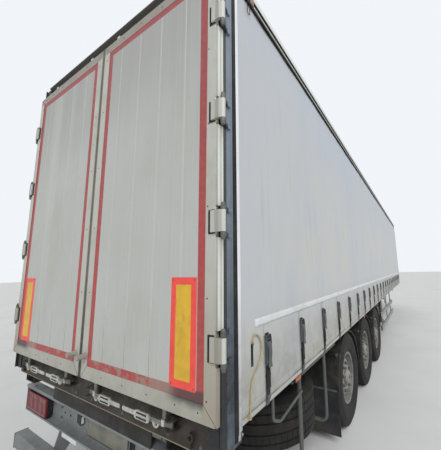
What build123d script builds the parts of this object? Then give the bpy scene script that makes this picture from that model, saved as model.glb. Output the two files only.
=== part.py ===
from build123d import *
from math import pi, radians, sqrt, tan
import os

os.makedirs("parts", exist_ok=True)

# A three axle curtain side semi trailer standing on its landing legs, in millimetres.
# X is to the right, Y forward, Z up. The origin is under the middle of the trailer, on the ground.
# Stations along the trailer are measured forward from the outer face of the rear doors.

# Overall sizes
body_length = 13620
body_width = 2550
body_height = 4000
buffer_reach = 60
half_width = body_width / 2
wall_front = body_length
rear_y = buffer_reach - (body_length + buffer_reach) / 2

# Floor and side raves
floor_top = 1215
floor_thickness = 28
floor_half_width = half_width - 75
floor_under = floor_top - floor_thickness
rave_outer = half_width - 13
rave_bottom = 1135
rave_wall = 5
rave_lip = 35
rave_inner = rave_outer - rave_lip

# Rear frame
sill_rear = 50
sill_front = 130
sill_bottom = 1050
post_inner = half_width - 95
post_step = half_width - 25
post_rear = 42
post_face = 63
post_front = 130
post_wall = 6
post_bottom = 1080
post_lip_inner = half_width - 10
post_lip_rear = 28
recess_front = 154
recess_inner = half_width - 63
recess_outer = half_width - 19
header_height = 130
header_bottom = body_height - header_height
header_web = 62
header_lip_rear = 25
frame_plate = 8
tail_plate = 8

# Rear doors
door_thickness = 30
door_bottom = floor_top + 11
door_top = header_bottom - 5
door_outer = half_width - 17
door_inner = 20
door_edge_width = 72
door_bottom_width = 85
door_edge_rounding = 8
plank_inset = 3
plank_pitch = 243
plank_groove = 5
seal_lip = 4
seal_thickness = 6
seal_width = 28

# Door hinges: pin centre, barrel and the heights of the four on each side
pin_x = half_width + 30
pin_station = 8
pin_radius = 6
pin_head_radius = 9
pin_head_height = 4
pin_clearance = 0.5
barrel_radius = 14
hinge_above_bottom = 347
hinge_below_top = 402
hinge_count = 4
hinge_block_height = 115
hinge_block_inner = door_outer - 23
hinge_block_out = 14
hinge_gap = 1
lug_height = 22
lug_outer = half_width + 14
lug_front = 100

# Lock gear: rod places from the middle of the trailer, hubs and cams on the rods
rod_inner = 210
rod_outer = half_width - 375
rod_radius = 14
rod_station = 15
hub_collar_radius = 20
cam_bottom = 1146
cam_top = 1177
cam_nose_radius = 12
top_cam_height = 20
top_cam_half_width = 18
top_cam_reach = 24

# Keepers that take the cams, and the cheeks at the top
keeper_gap = 6
keeper_clear = 7
keeper_half_width = 31
keeper_hole = 15
keeper_plate = 6
keeper_reach = 20
cheek_gap = 7
top_keeper_rise = 10
keeper_offset = rod_radius + keeper_clear + keeper_half_width

# Lock handles: a slotted body and a flat lever, at one height on every rod
handle_z = 1155
body_length_of_handle = 138
body_half_height = 23
body_slot_half_height = 7
body_rear = -10
body_front = 8
lever_half_height = 12
lever_half_thickness = 5
claw_wall = 9
claw_radius = 26

# Door buffers
buffer_x = 68
buffer_z = 1375
buffer_radius = 18
buffer_base_radius = 24
buffer_base = 6

# Fittings under the rear sill
fitting_inner = half_width - 405
fitting_outer = half_width - 235
fitting_drop = 50
fitting_depth = 60
hook_x = half_width - 205
hook_z = 1120
hook_radius = 22
hook_wall = 10

# Side curtains, poles and buckles
curtain_bottom = 1170
curtain_thickness = 4
curtain_outer = rave_outer + curtain_thickness
pole_radius = 17
pole_x = half_width - 17
pole_station = 174.5
pole_bottom = 1096
ratchet_radius = 20
ratchet_height = 26
buckle_first = 484
buckle_pitch = 574
buckle_bottom = 1360
buckle_top = 1540
buckle_out = 30
buckle_width = 56
buckle_cheek = 5
buckle_lever_thickness = 5
strap_width = 46
strap_thickness = 4
strap_return = 14
side_lamp_length = 110
side_lamp_height = 34
side_lamp_depth = 27
lamp_bay_count = 5
side_lamp_behind = 90

# Loose rope tied to a strap tab near the end of the curtain
rope_radius = 4
rope_tab_station = 314
rope_tab_width = 24
rope_tab_bottom = 1400
rope_tab_top = 1525
rope_ring_depth = 12
rope_x = curtain_outer + 8
rope_bend_share = 0.45

# Roof
rail_height = 130
rail_groove = 12
rail_inner = half_width - 75
rail_bottom = body_height - rail_height
bow_pitch_wanted = 675
bow_width = 30
bow_height = 45
sheet_thickness = 4
sheet_drop = 12

# Front wall
wall_thickness = 30
wall_inset = 40
wall_rear = wall_front - wall_inset - wall_thickness
wall_rib_pitch = 200
wall_rib_half_width = 30
front_post_length = 120
bay_front = wall_front - front_post_length
coupling_z = 1320
coupling_recess = 3
# columns: place across, radius
front_couplings = (
    (-180, 26),
    (-60, 34),
    (60, 34),
    (180, 26),
)

# Side rack: sliding posts with laths between them
rack_outer = half_width - 20
rack_inner = half_width - 80
rack_post_length = 140
rack_post_pitch_wanted = 3400
lath_inner = half_width - 60
lath_outer = half_width - 35
lath_height = 110
lath_above_floor = 535
lath_pitch = 580

# Main beams, from the rear tail over the axles to the neck
beam_x = half_width - 625
beam_web = 6
flange_width = 140
flange_thickness = 12
beam_rear = sill_front
beam_front = wall_rear
tail_end = 500
tail_underside = 987
bogie_start = 700
bogie_underside = 887
bogie_end = 6400
waist_start = 7000
waist_underside = 767
neck_length = 3100
neck_slope = 500
neck_bottom = 1118
neck_start = beam_front - neck_length
neck_foot = neck_start - neck_slope
flange_inner = beam_x - flange_width / 2
flange_outer = beam_x + flange_width / 2
web_inner = beam_x - beam_web / 2
web_outer = beam_x + beam_web / 2

# Cross members
member_height = 80
member_width = 45
member_wall = 5
member_first = 350
member_pitch = 560
member_bottom = floor_under - member_height

# Coupling plate and kingpin
plate_thickness = 8
plate_half_width = 640
plate_corner = 160
plate_behind_kingpin = 820
plate_underside = neck_bottom - plate_thickness
kingpin_from_front = 1600
kingpin_station = body_length - kingpin_from_front
kingpin_head_radius = 35.5
kingpin_neck_radius = 25.4
kingpin_base_radius = 36.5
kingpin_base_length = 17
kingpin_neck_length = 35
kingpin_head_length = 32

# Landing legs
leg_behind_neck = 400
leg_station = neck_foot - leg_behind_neck
leg_x = 800
leg_outer_size = 120
leg_inner_size = 96
leg_outer_bottom = 420
leg_outer_top = 1085
leg_inner_bottom = 40
leg_rounding = 12
foot_length = 280
foot_width = 230
foot_thickness = 12
foot_pin_z = 70
foot_pin_radius = 15
foot_ear_top = 100
foot_ear_half_length = 60
foot_ear_thickness = 10
leg_mount_height = 260
leg_mount_half_length = 102
leg_mount_plate = 12
shaft_z = 735
shaft_radius = 14
brace_z = 640
brace_size = 50
stay_bar_reach = 700
stay_bar_depth = 60
stay_bar_low = 500
stay_bar_width = 40
gearbox_depth = 45
gearbox_half_length = 55
gearbox_low = 830
gearbox_high = 1010
crank_z = 900
crank_radius = 10
crank_out = 55
crank_drop = 230
crank_handle = 70

# Axles and wheels
axle_first = 2700
axle_pitch = 1310
axle_count = 3
wheel_x = half_width - 232
tyre_radius = 536
tyre_width = 385
tread_half_width = 164
bulge_radius = 436
bead_radius = 286
bead_half_width = 150
rim_wall = 8
rim_flange = 10
rim_flange_height = 14
disc_offset = 120
disc_thickness = 12
disc_seat_radius = 188
hub_radius = 88
hub_cap_radius = 66
hub_cap_reach = 176
axle_radius = 65
stub_radius = 45
stub_clearance = 0.3
stub_end = 130
hand_hole_circle = 222
hand_hole_radius = 24
hand_hole_count = 10
axle_z = tyre_radius

# Disc brakes: places are measured outward from the middle of the wheel
brake_disc_radius = 215
brake_disc_inner = -93
brake_disc_outer = -48
brake_neck_radius = 108
torque_plate_inner = -125
torque_plate_outer = -105
torque_plate_radius = 140
caliper_outer = -15
caliper_near = 120
caliper_far = 255
caliper_half_height = 75
caliper_clear = 6
chamber_radius = 78
chamber_ahead = 185
chamber_rise = 30
chamber_length = 158

# Suspension
hanger_ahead = 500
hanger_width = 130
hanger_plate = 12
hanger_half_top = 150
hanger_rounding = 60
arm_width = 96
pivot_z = 640
pivot_radius = 20
eye_radius = 48
arm_crown = 655
arm_tail_top = 610
arm_tail_bottom = 585
arm_behind = 480
clamp_half_length = 92
clamp_half_width = 72
clamp_plate = 12
clamp_bolt_radius = 9
clamp_bolt_x = 59
clamp_bolt_y = 78
damper_radius = 24
damper_rod_radius = 10
damper_in = 80
damper_low_z = 628
damper_high_z = 850
damper_low_behind = 100
damper_high_ahead = 60
spring_behind = 400
spring_radius = 140
spring_waist_radius = 118
spring_plate_radius = 105
spring_plate_thickness = 8
piston_base_radius = 72
piston_top_radius = 92
piston_height = 90

# Mudguards and flaps
guard_gap = 40
guard_wall = 4
guard_lip = 20
guard_lip_width = 8
guard_inner = half_width - 423
guard_outer = half_width - 39
guard_bottom = 560
stay_radius = 15
stay_z = 920
flap_half_width = 190
flap_bottom = 120
flap_thickness = 6
flap_overlap = 40

# Side guards
guard_rail_rear = 6100
guard_rail_front = leg_station - 400
guard_rail_size = 26
guard_rail_height = 100
guard_rail_outer = half_width - 30
guard_rail_rows = (480, 780)
stanchion_members = (11, 13, 15)
stanchion_width = 60

# Air tanks
tank_radius = 125
tank_length = 620
tank_end_rounding = 60
tank_z = 900
tank_members = (13, 14)
strap_band = 40

# Spare wheel and its carrier
spare_x = 640
spare_station = 1400
spare_bottom = 480
cradle_radius = 17
cradle_spread = 320
cradle_inner_x = 60
cradle_outer_x = half_width - 60
cradle_bend = 60
cradle_rail_width = 40
cradle_rail_height = 20
cradle_members = (1, 3)
guide_radius = 10
guide_x = half_width - 40
guide_bend = 45
guide_start = 980
guide_low = 935
guide_low_station = 700
guide_end_station = 600

# Light carrier, lamps and underrun bar
carrier_half_width = half_width - 50
carrier_plate = 4
carrier_web = 200
carrier_top = 900
carrier_bottom = 670
carrier_top_rear = sill_front
carrier_shelf_rear = 140
lamp_inner = half_width - 455
lamp_outer = half_width - 57
lamp_bottom = 690
lamp_top = 840
lamp_rear = 140
lamp_base = 165
lamp_base_margin = 6
lamp_rounding = 6
plate_lamp_x = -300
plate_lamp_half_width = 30
plate_lamp_depth = 30
plate_lamp_bottom = 760
plate_lamp_top = 830
bar_bottom = 390
bar_top = 510
bar_rear = 60
bar_front = 160
bar_wall = 5
bar_rounding = 14
bar_half_width = half_width - 75
bracket_x = 650
bracket_thickness = 12
bracket_front = 420


def export(piece, name):
    """Names a finished piece and writes it."""
    piece.part.label = name
    export_step(piece.part, "parts/" + name + ".step")


def export_pair(piece, name):
    """Writes the right hand piece and its mirror image for the left."""
    export(piece, name + "_right")
    with BuildPart() as other:
        mirror(piece.part, about=Plane.YZ)
    export(other, name + "_left")


def place(x, station, z):
    """The place of a point given across, along and up."""
    return (x, rear_y + station, z)


def block(x, station, z, mode=Mode.ADD):
    """A box between a low and a high place along each axis."""
    with Locations(place(sum(x) / 2, sum(station) / 2, sum(z) / 2)):
        Box(x[1] - x[0], station[1] - station[0], z[1] - z[0], mode=mode)


def span(low, length):
    """A low and a high place from a start and a length, whichever way the length runs."""
    return tuple(sorted((low, low + length)))


def about(middle, half):
    """A low and a high place on both sides of a middle."""
    return (middle - half, middle + half)


def side_plane(x):
    """A plane facing right, with stations across and heights up."""
    return Plane(origin=(x, rear_y, 0), x_dir=(0, 1, 0), z_dir=(1, 0, 0))


def cross_plane(station):
    """A plane facing the rear, with X across and heights up."""
    return Plane(origin=(0, rear_y + station, 0), x_dir=(1, 0, 0), z_dir=(0, -1, 0))


def plan_plane(z):
    """A plane facing up, with X across and stations up the sheet."""
    return Plane(origin=(0, rear_y, z), x_dir=(1, 0, 0), z_dir=(0, 0, 1))


def side_profile(points, x_low, x_high, mode=Mode.ADD):
    """A plate with an outline of stations and heights, between two places across."""
    with BuildSketch(side_plane(x_low)) as outline:
        with BuildLine():
            Polyline(*points, close=True)
        make_face()
    extrude(outline.sketch, amount=x_high - x_low, mode=mode)


def cross_profile(points, station_low, station_high, mode=Mode.ADD):
    """A bar with an outline of X and heights, between two stations."""
    with BuildSketch(cross_plane(station_high)) as outline:
        with BuildLine():
            Polyline(*points, close=True)
        make_face()
    extrude(outline.sketch, amount=station_high - station_low, mode=mode)


def plan_profile(points, z_low, z_high, mode=Mode.ADD):
    """A plate with an outline of X and stations, between two heights."""
    with BuildSketch(plan_plane(z_low)) as outline:
        with BuildLine():
            Polyline(*points, close=True)
        make_face()
    extrude(outline.sketch, amount=z_high - z_low, mode=mode)


def upright(x, station, radius, z_low, z_high, mode=Mode.ADD):
    """A round bar standing between two heights."""
    with BuildSketch(plan_plane(z_low)) as outline:
        with Locations((x, station)):
            Circle(radius)
    extrude(outline.sketch, amount=z_high - z_low, mode=mode)


def crosswise(station, z, radius, x_low, x_high, mode=Mode.ADD):
    """A round bar across the trailer between two places across."""
    with BuildSketch(side_plane(x_low)) as outline:
        with Locations((station, z)):
            Circle(radius)
    extrude(outline.sketch, amount=x_high - x_low, mode=mode)


def lengthwise(x, z, radius, station_low, station_high, mode=Mode.ADD):
    """A round bar along the trailer between two stations."""
    with BuildSketch(cross_plane(station_high)) as outline:
        with Locations((x, z)):
            Circle(radius)
    extrude(outline.sketch, amount=station_high - station_low, mode=mode)


def bent_tube(plane, points, bend, radius):
    """A round tube along straight runs joined by bends, drawn on a plane."""
    with BuildLine(plane) as route:
        FilletPolyline(*points, radius=bend)
    with BuildSketch(Plane(origin=route.line @ 0, z_dir=route.line % 0)) as section:
        Circle(radius)
    sweep(section.sketch, path=route.line)


axle_stations = [axle_first + axle_pitch * number for number in range(axle_count)]
hinge_first = door_bottom + hinge_above_bottom
hinge_pitch = (door_top - hinge_below_top - hinge_first) / (hinge_count - 1)
hinge_heights = [hinge_first + hinge_pitch * number for number in range(hinge_count)]
curtain_rear = pole_station + pole_radius
curtain_front = wall_front - curtain_rear
buckle_count = int((bay_front - buckle_first) / buckle_pitch) + 1
buckle_stations = [buckle_first + buckle_pitch * number for number in range(buckle_count)]
member_count = int((beam_front - member_first) / member_pitch)
member_stations = [member_first + member_pitch * number for number in range(member_count)]

# Main beams
beam_underside = [
    (beam_rear, tail_underside),
    (tail_end, tail_underside),
    (bogie_start, bogie_underside),
    (bogie_end, bogie_underside),
    (waist_start, waist_underside),
    (neck_foot, waist_underside),
    (neck_start, neck_bottom),
    (beam_front, neck_bottom),
]
with BuildPart() as beam:
    web = [(beam_rear, floor_under)] + beam_underside + [(beam_front, floor_under)]
    side_profile(web, web_inner, web_outer)
    bottom = beam_underside + [(station, z + flange_thickness) for station, z in reversed(beam_underside)]
    side_profile(bottom, flange_inner, flange_outer)
    block(
        (flange_inner, flange_outer),
        (beam_rear, beam_front),
        (floor_under - flange_thickness, floor_under),
    )
export_pair(beam, "beam")


# Cross members between the beams and outriggers to the raves
def cross_member(bottom):
    """A channel between the beams and an outrigger beyond each, at the door face."""
    channel = [
        (0, floor_under),
        (member_width, floor_under),
        (member_width, floor_under - member_wall),
        (member_wall, floor_under - member_wall),
        (member_wall, bottom + member_wall),
        (member_width, bottom + member_wall),
        (member_width, bottom),
        (0, bottom),
    ]
    with BuildPart() as member:
        side_profile(channel, -web_inner, web_inner)
        side_profile(channel, web_outer, rave_inner)
        side_profile(channel, -rave_inner, -web_outer)
        with BuildSketch(cross_plane(member_width)) as flanges:
            with Locations((beam_x, floor_under), (-beam_x, floor_under)):
                Rectangle(flange_width, 2 * flange_thickness)
            with Locations((beam_x, neck_bottom), (-beam_x, neck_bottom)):
                Rectangle(flange_width, 2 * flange_thickness)
        extrude(flanges.sketch, amount=member_width, mode=Mode.SUBTRACT)
    return member.part


deep_member = cross_member(member_bottom)
neck_member = cross_member(neck_bottom)
with BuildPart() as crossmembers:
    with Locations(*[(0, station, 0) for station in member_stations if station < neck_start]):
        add(deep_member)
    with Locations(*[(0, station, 0) for station in member_stations if station >= neck_start]):
        add(neck_member)
export(crossmembers, "crossmembers")

# Coupling plate with the kingpin
plate_rear = kingpin_station - plate_behind_kingpin
with BuildPart() as coupling_plate:
    plate = [
        (-plate_half_width, beam_front),
        (-plate_half_width, plate_rear + plate_corner),
        (-plate_half_width + plate_corner, plate_rear),
        (plate_half_width - plate_corner, plate_rear),
        (plate_half_width, plate_rear + plate_corner),
        (plate_half_width, beam_front),
    ]
    plan_profile(plate, plate_underside, neck_bottom)
    with BuildSketch(cross_plane(kingpin_station)) as pin_half:
        with BuildLine():
            base_end = plate_underside - kingpin_base_length
            neck_end = base_end - kingpin_neck_length
            head_end = neck_end - kingpin_head_length
            Polyline(
                (0, neck_bottom),
                (kingpin_base_radius, neck_bottom),
                (kingpin_base_radius, base_end),
                (kingpin_neck_radius, base_end),
                (kingpin_neck_radius, neck_end),
                (kingpin_head_radius, neck_end),
                (kingpin_head_radius, head_end),
                (0, head_end),
                close=True,
            )
        make_face()
    revolve(pin_half.sketch, Axis(place(0, kingpin_station, 0), (0, 0, 1)))
export(coupling_plate, "coupling_plate")

# Side raves: a folded edge rail along each side of the floor
with BuildPart() as side_raves:
    rave = [
        (rave_inner, rave_bottom),
        (rave_outer, rave_bottom),
        (rave_outer, floor_top),
        (floor_half_width, floor_top),
        (floor_half_width, floor_under),
        (rave_outer - rave_wall, floor_under),
        (rave_outer - rave_wall, rave_bottom + rave_wall),
        (rave_inner, rave_bottom + rave_wall),
    ]
    cross_profile(rave, curtain_rear, curtain_front)
    mirror(about=Plane.YZ)
export(side_raves, "side_raves")

# Floor boards
with BuildPart() as floor:
    block(
        (-floor_half_width, floor_half_width),
        (sill_front, wall_rear),
        (floor_under, floor_top),
    )
export(floor, "floor")

# Rear posts: a folded hollow section with a recess for the pole, hinge lugs and pins
with BuildPart() as rear_post:
    post = [
        (post_inner, post_rear),
        (post_step, post_rear),
        (post_step, post_face),
        (post_lip_inner, post_face),
        (post_lip_inner, post_lip_rear),
        (half_width, post_lip_rear),
        (half_width, post_front),
        (recess_outer, post_front),
        (recess_outer, recess_front),
        (recess_inner, recess_front),
        (recess_inner, post_front),
        (post_inner, post_front),
    ]
    plan_profile(post, post_bottom, body_height)
    hollow = [
        (post_inner + post_wall, post_rear + post_wall),
        (post_step - post_wall, post_rear + post_wall),
        (post_step - post_wall, post_face + post_wall),
        (half_width - post_wall, post_face + post_wall),
        (half_width - post_wall, post_front - post_wall),
        (post_inner + post_wall, post_front - post_wall),
    ]
    plan_profile(hollow, post_bottom, body_height, mode=Mode.SUBTRACT)
    for cap in ((post_bottom, pole_bottom), (rail_bottom, body_height)):
        block((pole_x - pole_radius, half_width), (post_front, curtain_rear), cap)
    half_block = hinge_block_height / 2
    for height in hinge_heights:
        pin_low = height - half_block - hinge_gap - lug_height
        pin_high = height + half_block + hinge_gap + lug_height
        for lug_low in (pin_low, pin_high - lug_height):
            lug = [
                (half_width, post_lip_rear),
                (pin_x - barrel_radius / 2, pin_station - barrel_radius / 2),
                (pin_x + barrel_radius / 2, pin_station + barrel_radius / 2),
                (lug_outer, post_face),
                (lug_outer, lug_front),
                (half_width, lug_front),
            ]
            plan_profile(lug, lug_low, lug_low + lug_height)
            upright(pin_x, pin_station, barrel_radius, lug_low, lug_low + lug_height)
        upright(pin_x, pin_station, pin_radius, pin_low, pin_high)
        upright(pin_x, pin_station, pin_head_radius, pin_high, pin_high + pin_head_height)
export_pair(rear_post, "rear_post")

# Rear header: a hollow beam with lips at the rear and a keeper for each rod
rod_places = (rod_inner, rod_outer)
with BuildPart() as rear_header:
    header = [
        (post_rear, header_bottom),
        (post_front, header_bottom),
        (post_front, body_height),
        (header_lip_rear, body_height),
        (header_lip_rear, body_height - frame_plate),
        (header_web, body_height - frame_plate),
        (header_web, header_bottom + frame_plate),
        (post_rear, header_bottom + frame_plate),
    ]
    side_profile(header, -post_inner, post_inner)
    block(
        (-post_inner, post_inner),
        (header_web + post_wall, post_front - post_wall),
        (header_bottom + frame_plate, body_height - frame_plate),
        mode=Mode.SUBTRACT,
    )
    cover_low = header_bottom + top_cam_height + top_keeper_rise - keeper_gap + 1
    cheek_inner = top_cam_half_width + cheek_gap
    cheek_outer = cheek_inner + keeper_plate
    for middle in rod_places:
        for hand in (-1, 1):
            block(
                about(hand * middle, cheek_outer),
                (keeper_reach, header_web),
                (cover_low, cover_low + keeper_plate),
            )
            for side in (-1, 1):
                block(
                    span(hand * middle + side * cheek_inner, side * keeper_plate),
                    (keeper_reach, header_web),
                    (header_bottom, cover_low),
                )
export(rear_header, "rear_header")

# Rear sill with the lower keepers, fitting boxes, hooks and the plate across the beam tails
keeper_low = cam_bottom - keeper_gap - keeper_plate
keeper_high = cam_top + keeper_gap
keeper_places = (rod_inner - keeper_offset, rod_outer + keeper_offset)
with BuildPart() as rear_sill:
    sill = [
        (sill_rear, sill_bottom),
        (sill_front, sill_bottom),
        (sill_front, sill_bottom + frame_plate),
        (sill_rear + frame_plate, sill_bottom + frame_plate),
        (sill_rear + frame_plate, floor_top - frame_plate),
        (sill_front, floor_top - frame_plate),
        (sill_front, floor_top),
        (sill_rear, floor_top),
    ]
    side_profile(sill, 0, post_inner)
    for plate_low in (keeper_low, keeper_high):
        with BuildSketch(plan_plane(plate_low)) as keeper:
            for middle in keeper_places:
                with Locations((middle, keeper_half_width - keeper_reach)):
                    Circle(keeper_half_width)
                with Locations((middle, (keeper_half_width - keeper_reach + sill_rear) / 2)):
                    Rectangle(2 * keeper_half_width, sill_rear - keeper_half_width + keeper_reach)
                with Locations((middle, keeper_half_width - keeper_reach)):
                    Circle(keeper_hole, mode=Mode.SUBTRACT)
        extrude(keeper.sketch, amount=keeper_plate)
    fitting = [
        (fitting_inner, sill_bottom),
        (fitting_inner, sill_bottom - fitting_drop),
        (fitting_outer, sill_bottom - fitting_drop),
        (fitting_outer, sill_bottom),
        (fitting_outer - post_wall, sill_bottom),
        (fitting_outer - post_wall, sill_bottom - fitting_drop + post_wall),
        (fitting_inner + post_wall, sill_bottom - fitting_drop + post_wall),
        (fitting_inner + post_wall, sill_bottom),
    ]
    cross_profile(fitting, sill_rear, sill_rear + fitting_depth)
    with BuildSketch(cross_plane(sill_rear)) as hook:
        with Locations((hook_x, hook_z)):
            Circle(hook_radius)
            Circle(hook_radius - hook_wall, mode=Mode.SUBTRACT)
        with Locations((hook_x - hook_radius / 2, hook_z)):
            Rectangle(hook_radius, hook_wall, mode=Mode.SUBTRACT)
        with Locations((hook_x, hook_z - 1.5 * hook_radius)):
            Rectangle(hook_wall, 1.5 * hook_radius)
    extrude(hook.sketch, amount=sill_rear - rod_station - rod_radius)
    mirror(about=Plane.YZ)
    block(
        (-web_outer, web_outer),
        (sill_front - tail_plate, sill_front),
        (carrier_top - carrier_plate, sill_bottom),
    )
export(rear_sill, "rear_sill")

# Side racks: posts that carry the roof rail, with laths in their pockets
rack_post_count = round((bay_front - post_front) / rack_post_pitch_wanted) - 1
rack_pitch = (bay_front - post_front) / (rack_post_count + 1)
lath_room = rail_bottom - lath_height / 2 - floor_top - lath_above_floor
lath_count = int(lath_room / lath_pitch) + 1
lath_rows = [floor_top + lath_above_floor + lath_pitch * row for row in range(lath_count)]
with BuildPart() as side_rack:
    for number in range(rack_post_count):
        middle = post_front + rack_pitch * (number + 1)
        block((rack_inner, rack_outer), about(middle, rack_post_length / 2), (floor_top, rail_bottom))
    for row in lath_rows:
        block((lath_inner, lath_outer), (recess_front, bay_front), about(row, lath_height / 2))
export_pair(side_rack, "side_rack")

# Roof rails along both sides
rail_step = body_height - rail_height / 2
bow_top = body_height - sheet_drop - sheet_thickness
with BuildPart() as roof_rails:
    rail = [
        (rail_inner, rail_bottom),
        (curtain_outer, rail_bottom),
        (curtain_outer, rail_step),
        (curtain_outer - rail_groove, rail_step + rail_groove / 2),
        (curtain_outer - rail_groove, rail_step + rail_groove),
        (half_width, rail_step + rail_groove),
        (half_width, body_height),
        (rail_inner + rail_groove, body_height),
        (rail_inner + rail_groove, bow_top - bow_height),
        (rail_inner, bow_top - bow_height),
    ]
    cross_profile(rail, curtain_rear, bay_front)
    mirror(about=Plane.YZ)
export(roof_rails, "roof_rails")

# Roof bows and the sheet that lies over them
bow_half = rail_inner + rail_groove
bow_first = post_front + bow_width
bow_last = wall_rear - bow_width
bow_count = round((bow_last - bow_first) / bow_pitch_wanted) + 1
bow_pitch = (bow_last - bow_first) / (bow_count - 1)
bow_middles = [bow_first + bow_pitch * number for number in range(bow_count)]
with BuildPart() as roof_bows:
    with Locations(*[place(0, middle, bow_top - bow_height / 2) for middle in bow_middles]):
        Box(2 * bow_half, bow_width, bow_height)
export(roof_bows, "roof_bows")
with BuildPart() as roof_sheet:
    block((-bow_half, bow_half), (post_front, wall_rear), (bow_top, bow_top + sheet_thickness))
export(roof_sheet, "roof_sheet")

# Front wall with its corner posts, ribs and line couplings
with BuildPart() as front_wall:
    block((-bow_half, bow_half), (wall_rear, wall_rear + wall_thickness), (floor_under, body_height))
    rib_count = int(2 * bow_half / wall_rib_pitch) - 1
    for number in range(rib_count):
        rib_x = wall_rib_pitch * (number - (rib_count - 1) / 2)
        rib_low = coupling_z + 2 * wall_rib_half_width if abs(rib_x) <= wall_rib_pitch else floor_top
        block(
            about(rib_x, wall_rib_half_width),
            (wall_rear + wall_thickness, wall_front - wall_inset / 2),
            (rib_low, rail_bottom),
        )
    for hand in (-1, 1):
        block(
            span(hand * bow_half, hand * (half_width - bow_half)),
            (bay_front, wall_front),
            (rave_bottom, body_height),
        )
    for rows in ((rail_bottom, body_height), (neck_bottom, floor_top)):
        block((-bow_half, bow_half), (wall_rear + wall_thickness, wall_front), rows)
    for coupling_x, radius in front_couplings:
        lengthwise(coupling_x, coupling_z, radius, wall_rear + wall_thickness, wall_front - coupling_recess)
export(front_wall, "front_wall")

# Side curtains with the poles that stretch them
with BuildPart() as curtain:
    block((rave_outer, curtain_outer), (curtain_rear, bay_front), (curtain_bottom, rail_bottom))
export_pair(curtain, "curtain")
with BuildPart() as curtain_pole:
    upright(pole_x, pole_station, pole_radius, pole_bottom, rail_bottom)
    upright(pole_x, pole_station, ratchet_radius, pole_bottom, pole_bottom + ratchet_height)
    block(
        about(pole_x, ratchet_radius / 2),
        (pole_station, pole_station + 2 * ratchet_radius),
        (pole_bottom, pole_bottom + ratchet_height / 2),
    )
export_pair(curtain_pole, "curtain_pole")

# Strap buckles along the lower edge of the curtain, first one at the door face
with BuildPart() as one_buckle:
    strap = [
        (curtain_outer, rave_bottom - strap_thickness),
        (curtain_outer + strap_thickness, rave_bottom - strap_thickness),
        (curtain_outer + strap_thickness, buckle_top + buckle_width),
        (curtain_outer, buckle_top + buckle_width),
    ]
    cross_profile(strap, -strap_width / 2, strap_width / 2)
    strap_hook = [
        (curtain_outer, rave_bottom - strap_thickness),
        (curtain_outer, rave_bottom + strap_return),
        (curtain_outer - 1, rave_bottom),
        (rave_outer - strap_return, rave_bottom),
        (rave_outer - strap_return, rave_bottom - strap_thickness),
    ]
    cross_profile(strap_hook, -strap_width / 2, strap_width / 2)
    cheek = [
        (curtain_outer, buckle_bottom),
        (curtain_outer + buckle_out - strap_return, buckle_bottom),
        (curtain_outer + buckle_out, buckle_bottom + strap_width),
        (curtain_outer + buckle_out, buckle_top - strap_width),
        (curtain_outer + strap_thickness, buckle_top),
        (curtain_outer, buckle_top),
    ]
    for side in (-1, 1):
        cross_profile(cheek, *span(side * buckle_width / 2, -side * buckle_cheek))
    lever = [
        (curtain_outer + buckle_out - strap_return, buckle_bottom),
        (curtain_outer + buckle_out, buckle_bottom + strap_width),
        (curtain_outer + buckle_out, buckle_top - strap_width),
        (curtain_outer + buckle_out - buckle_lever_thickness, buckle_top - strap_width),
        (curtain_outer + buckle_out - buckle_lever_thickness, buckle_bottom + strap_width),
        (curtain_outer + strap_return - buckle_lever_thickness, buckle_bottom),
    ]
    cross_profile(lever, -buckle_width / 2, buckle_width / 2)
with BuildPart() as buckles:
    with Locations(*[(0, station, 0) for station in buckle_stations]):
        add(one_buckle.part)
    block(
        (curtain_outer, curtain_outer + strap_thickness),
        about(rope_tab_station, rope_tab_width / 2),
        (rope_tab_bottom, rope_tab_top),
    )
    block(
        (curtain_outer, rope_x + rope_radius),
        about(rope_tab_station, rope_tab_width / 4),
        (rope_tab_top - rope_ring_depth, rope_tab_top),
    )
export_pair(buckles, "buckles")

# Amber marker lamps under the rave
with BuildPart() as side_lamps:
    lamp_buckles = buckle_stations[1::lamp_bay_count]
    for hand in (-1, 1):
        lamp_x = hand * (rave_outer - side_lamp_depth / 2)
        lamp_z = rave_bottom - side_lamp_height / 2
        with Locations(*[place(lamp_x, station - side_lamp_behind, lamp_z) for station in lamp_buckles]):
            Box(side_lamp_depth, side_lamp_length, side_lamp_height)
    fillet(side_lamps.edges().filter_by(Axis.Z), radius=side_lamp_depth / 3)
export(side_lamps, "side_lamps")

# Door leaves: an edge frame with hinge blocks, and a plank panel inside it
frame_low = door_bottom + door_bottom_width
frame_high = door_top - door_edge_width
frame_near = door_inner + door_edge_width
frame_far = door_outer - door_edge_width
with BuildPart() as door_frame:
    block((door_inner, door_outer), (0, door_thickness), (door_bottom, door_top))
    outer_edges = door_frame.edges().filter_by(Axis.Z).group_by(Axis.X)[-1]
    fillet(outer_edges.sort_by(Axis.Y)[0], radius=door_edge_rounding)
    block((frame_near, frame_far), (0, door_thickness), (frame_low, frame_high), mode=Mode.SUBTRACT)
    for height in hinge_heights:
        leaf_block = [
            (hinge_block_inner, -hinge_block_out),
            (pin_x - barrel_radius, -hinge_block_out),
            (pin_x, pin_station - barrel_radius),
            (pin_x - barrel_radius, pin_station),
            (door_outer + barrel_radius, 0),
            (door_outer, door_edge_rounding),
            (hinge_block_inner, door_edge_rounding),
        ]
        z_low = height - hinge_block_height / 2
        plan_profile(leaf_block, z_low, z_low + hinge_block_height)
        upright(pin_x, pin_station, barrel_radius, z_low, z_low + hinge_block_height)
        upright(
            pin_x,
            pin_station,
            pin_radius + pin_clearance,
            z_low,
            z_low + hinge_block_height,
            mode=Mode.SUBTRACT,
        )
export_pair(door_frame, "door_frame")

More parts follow.
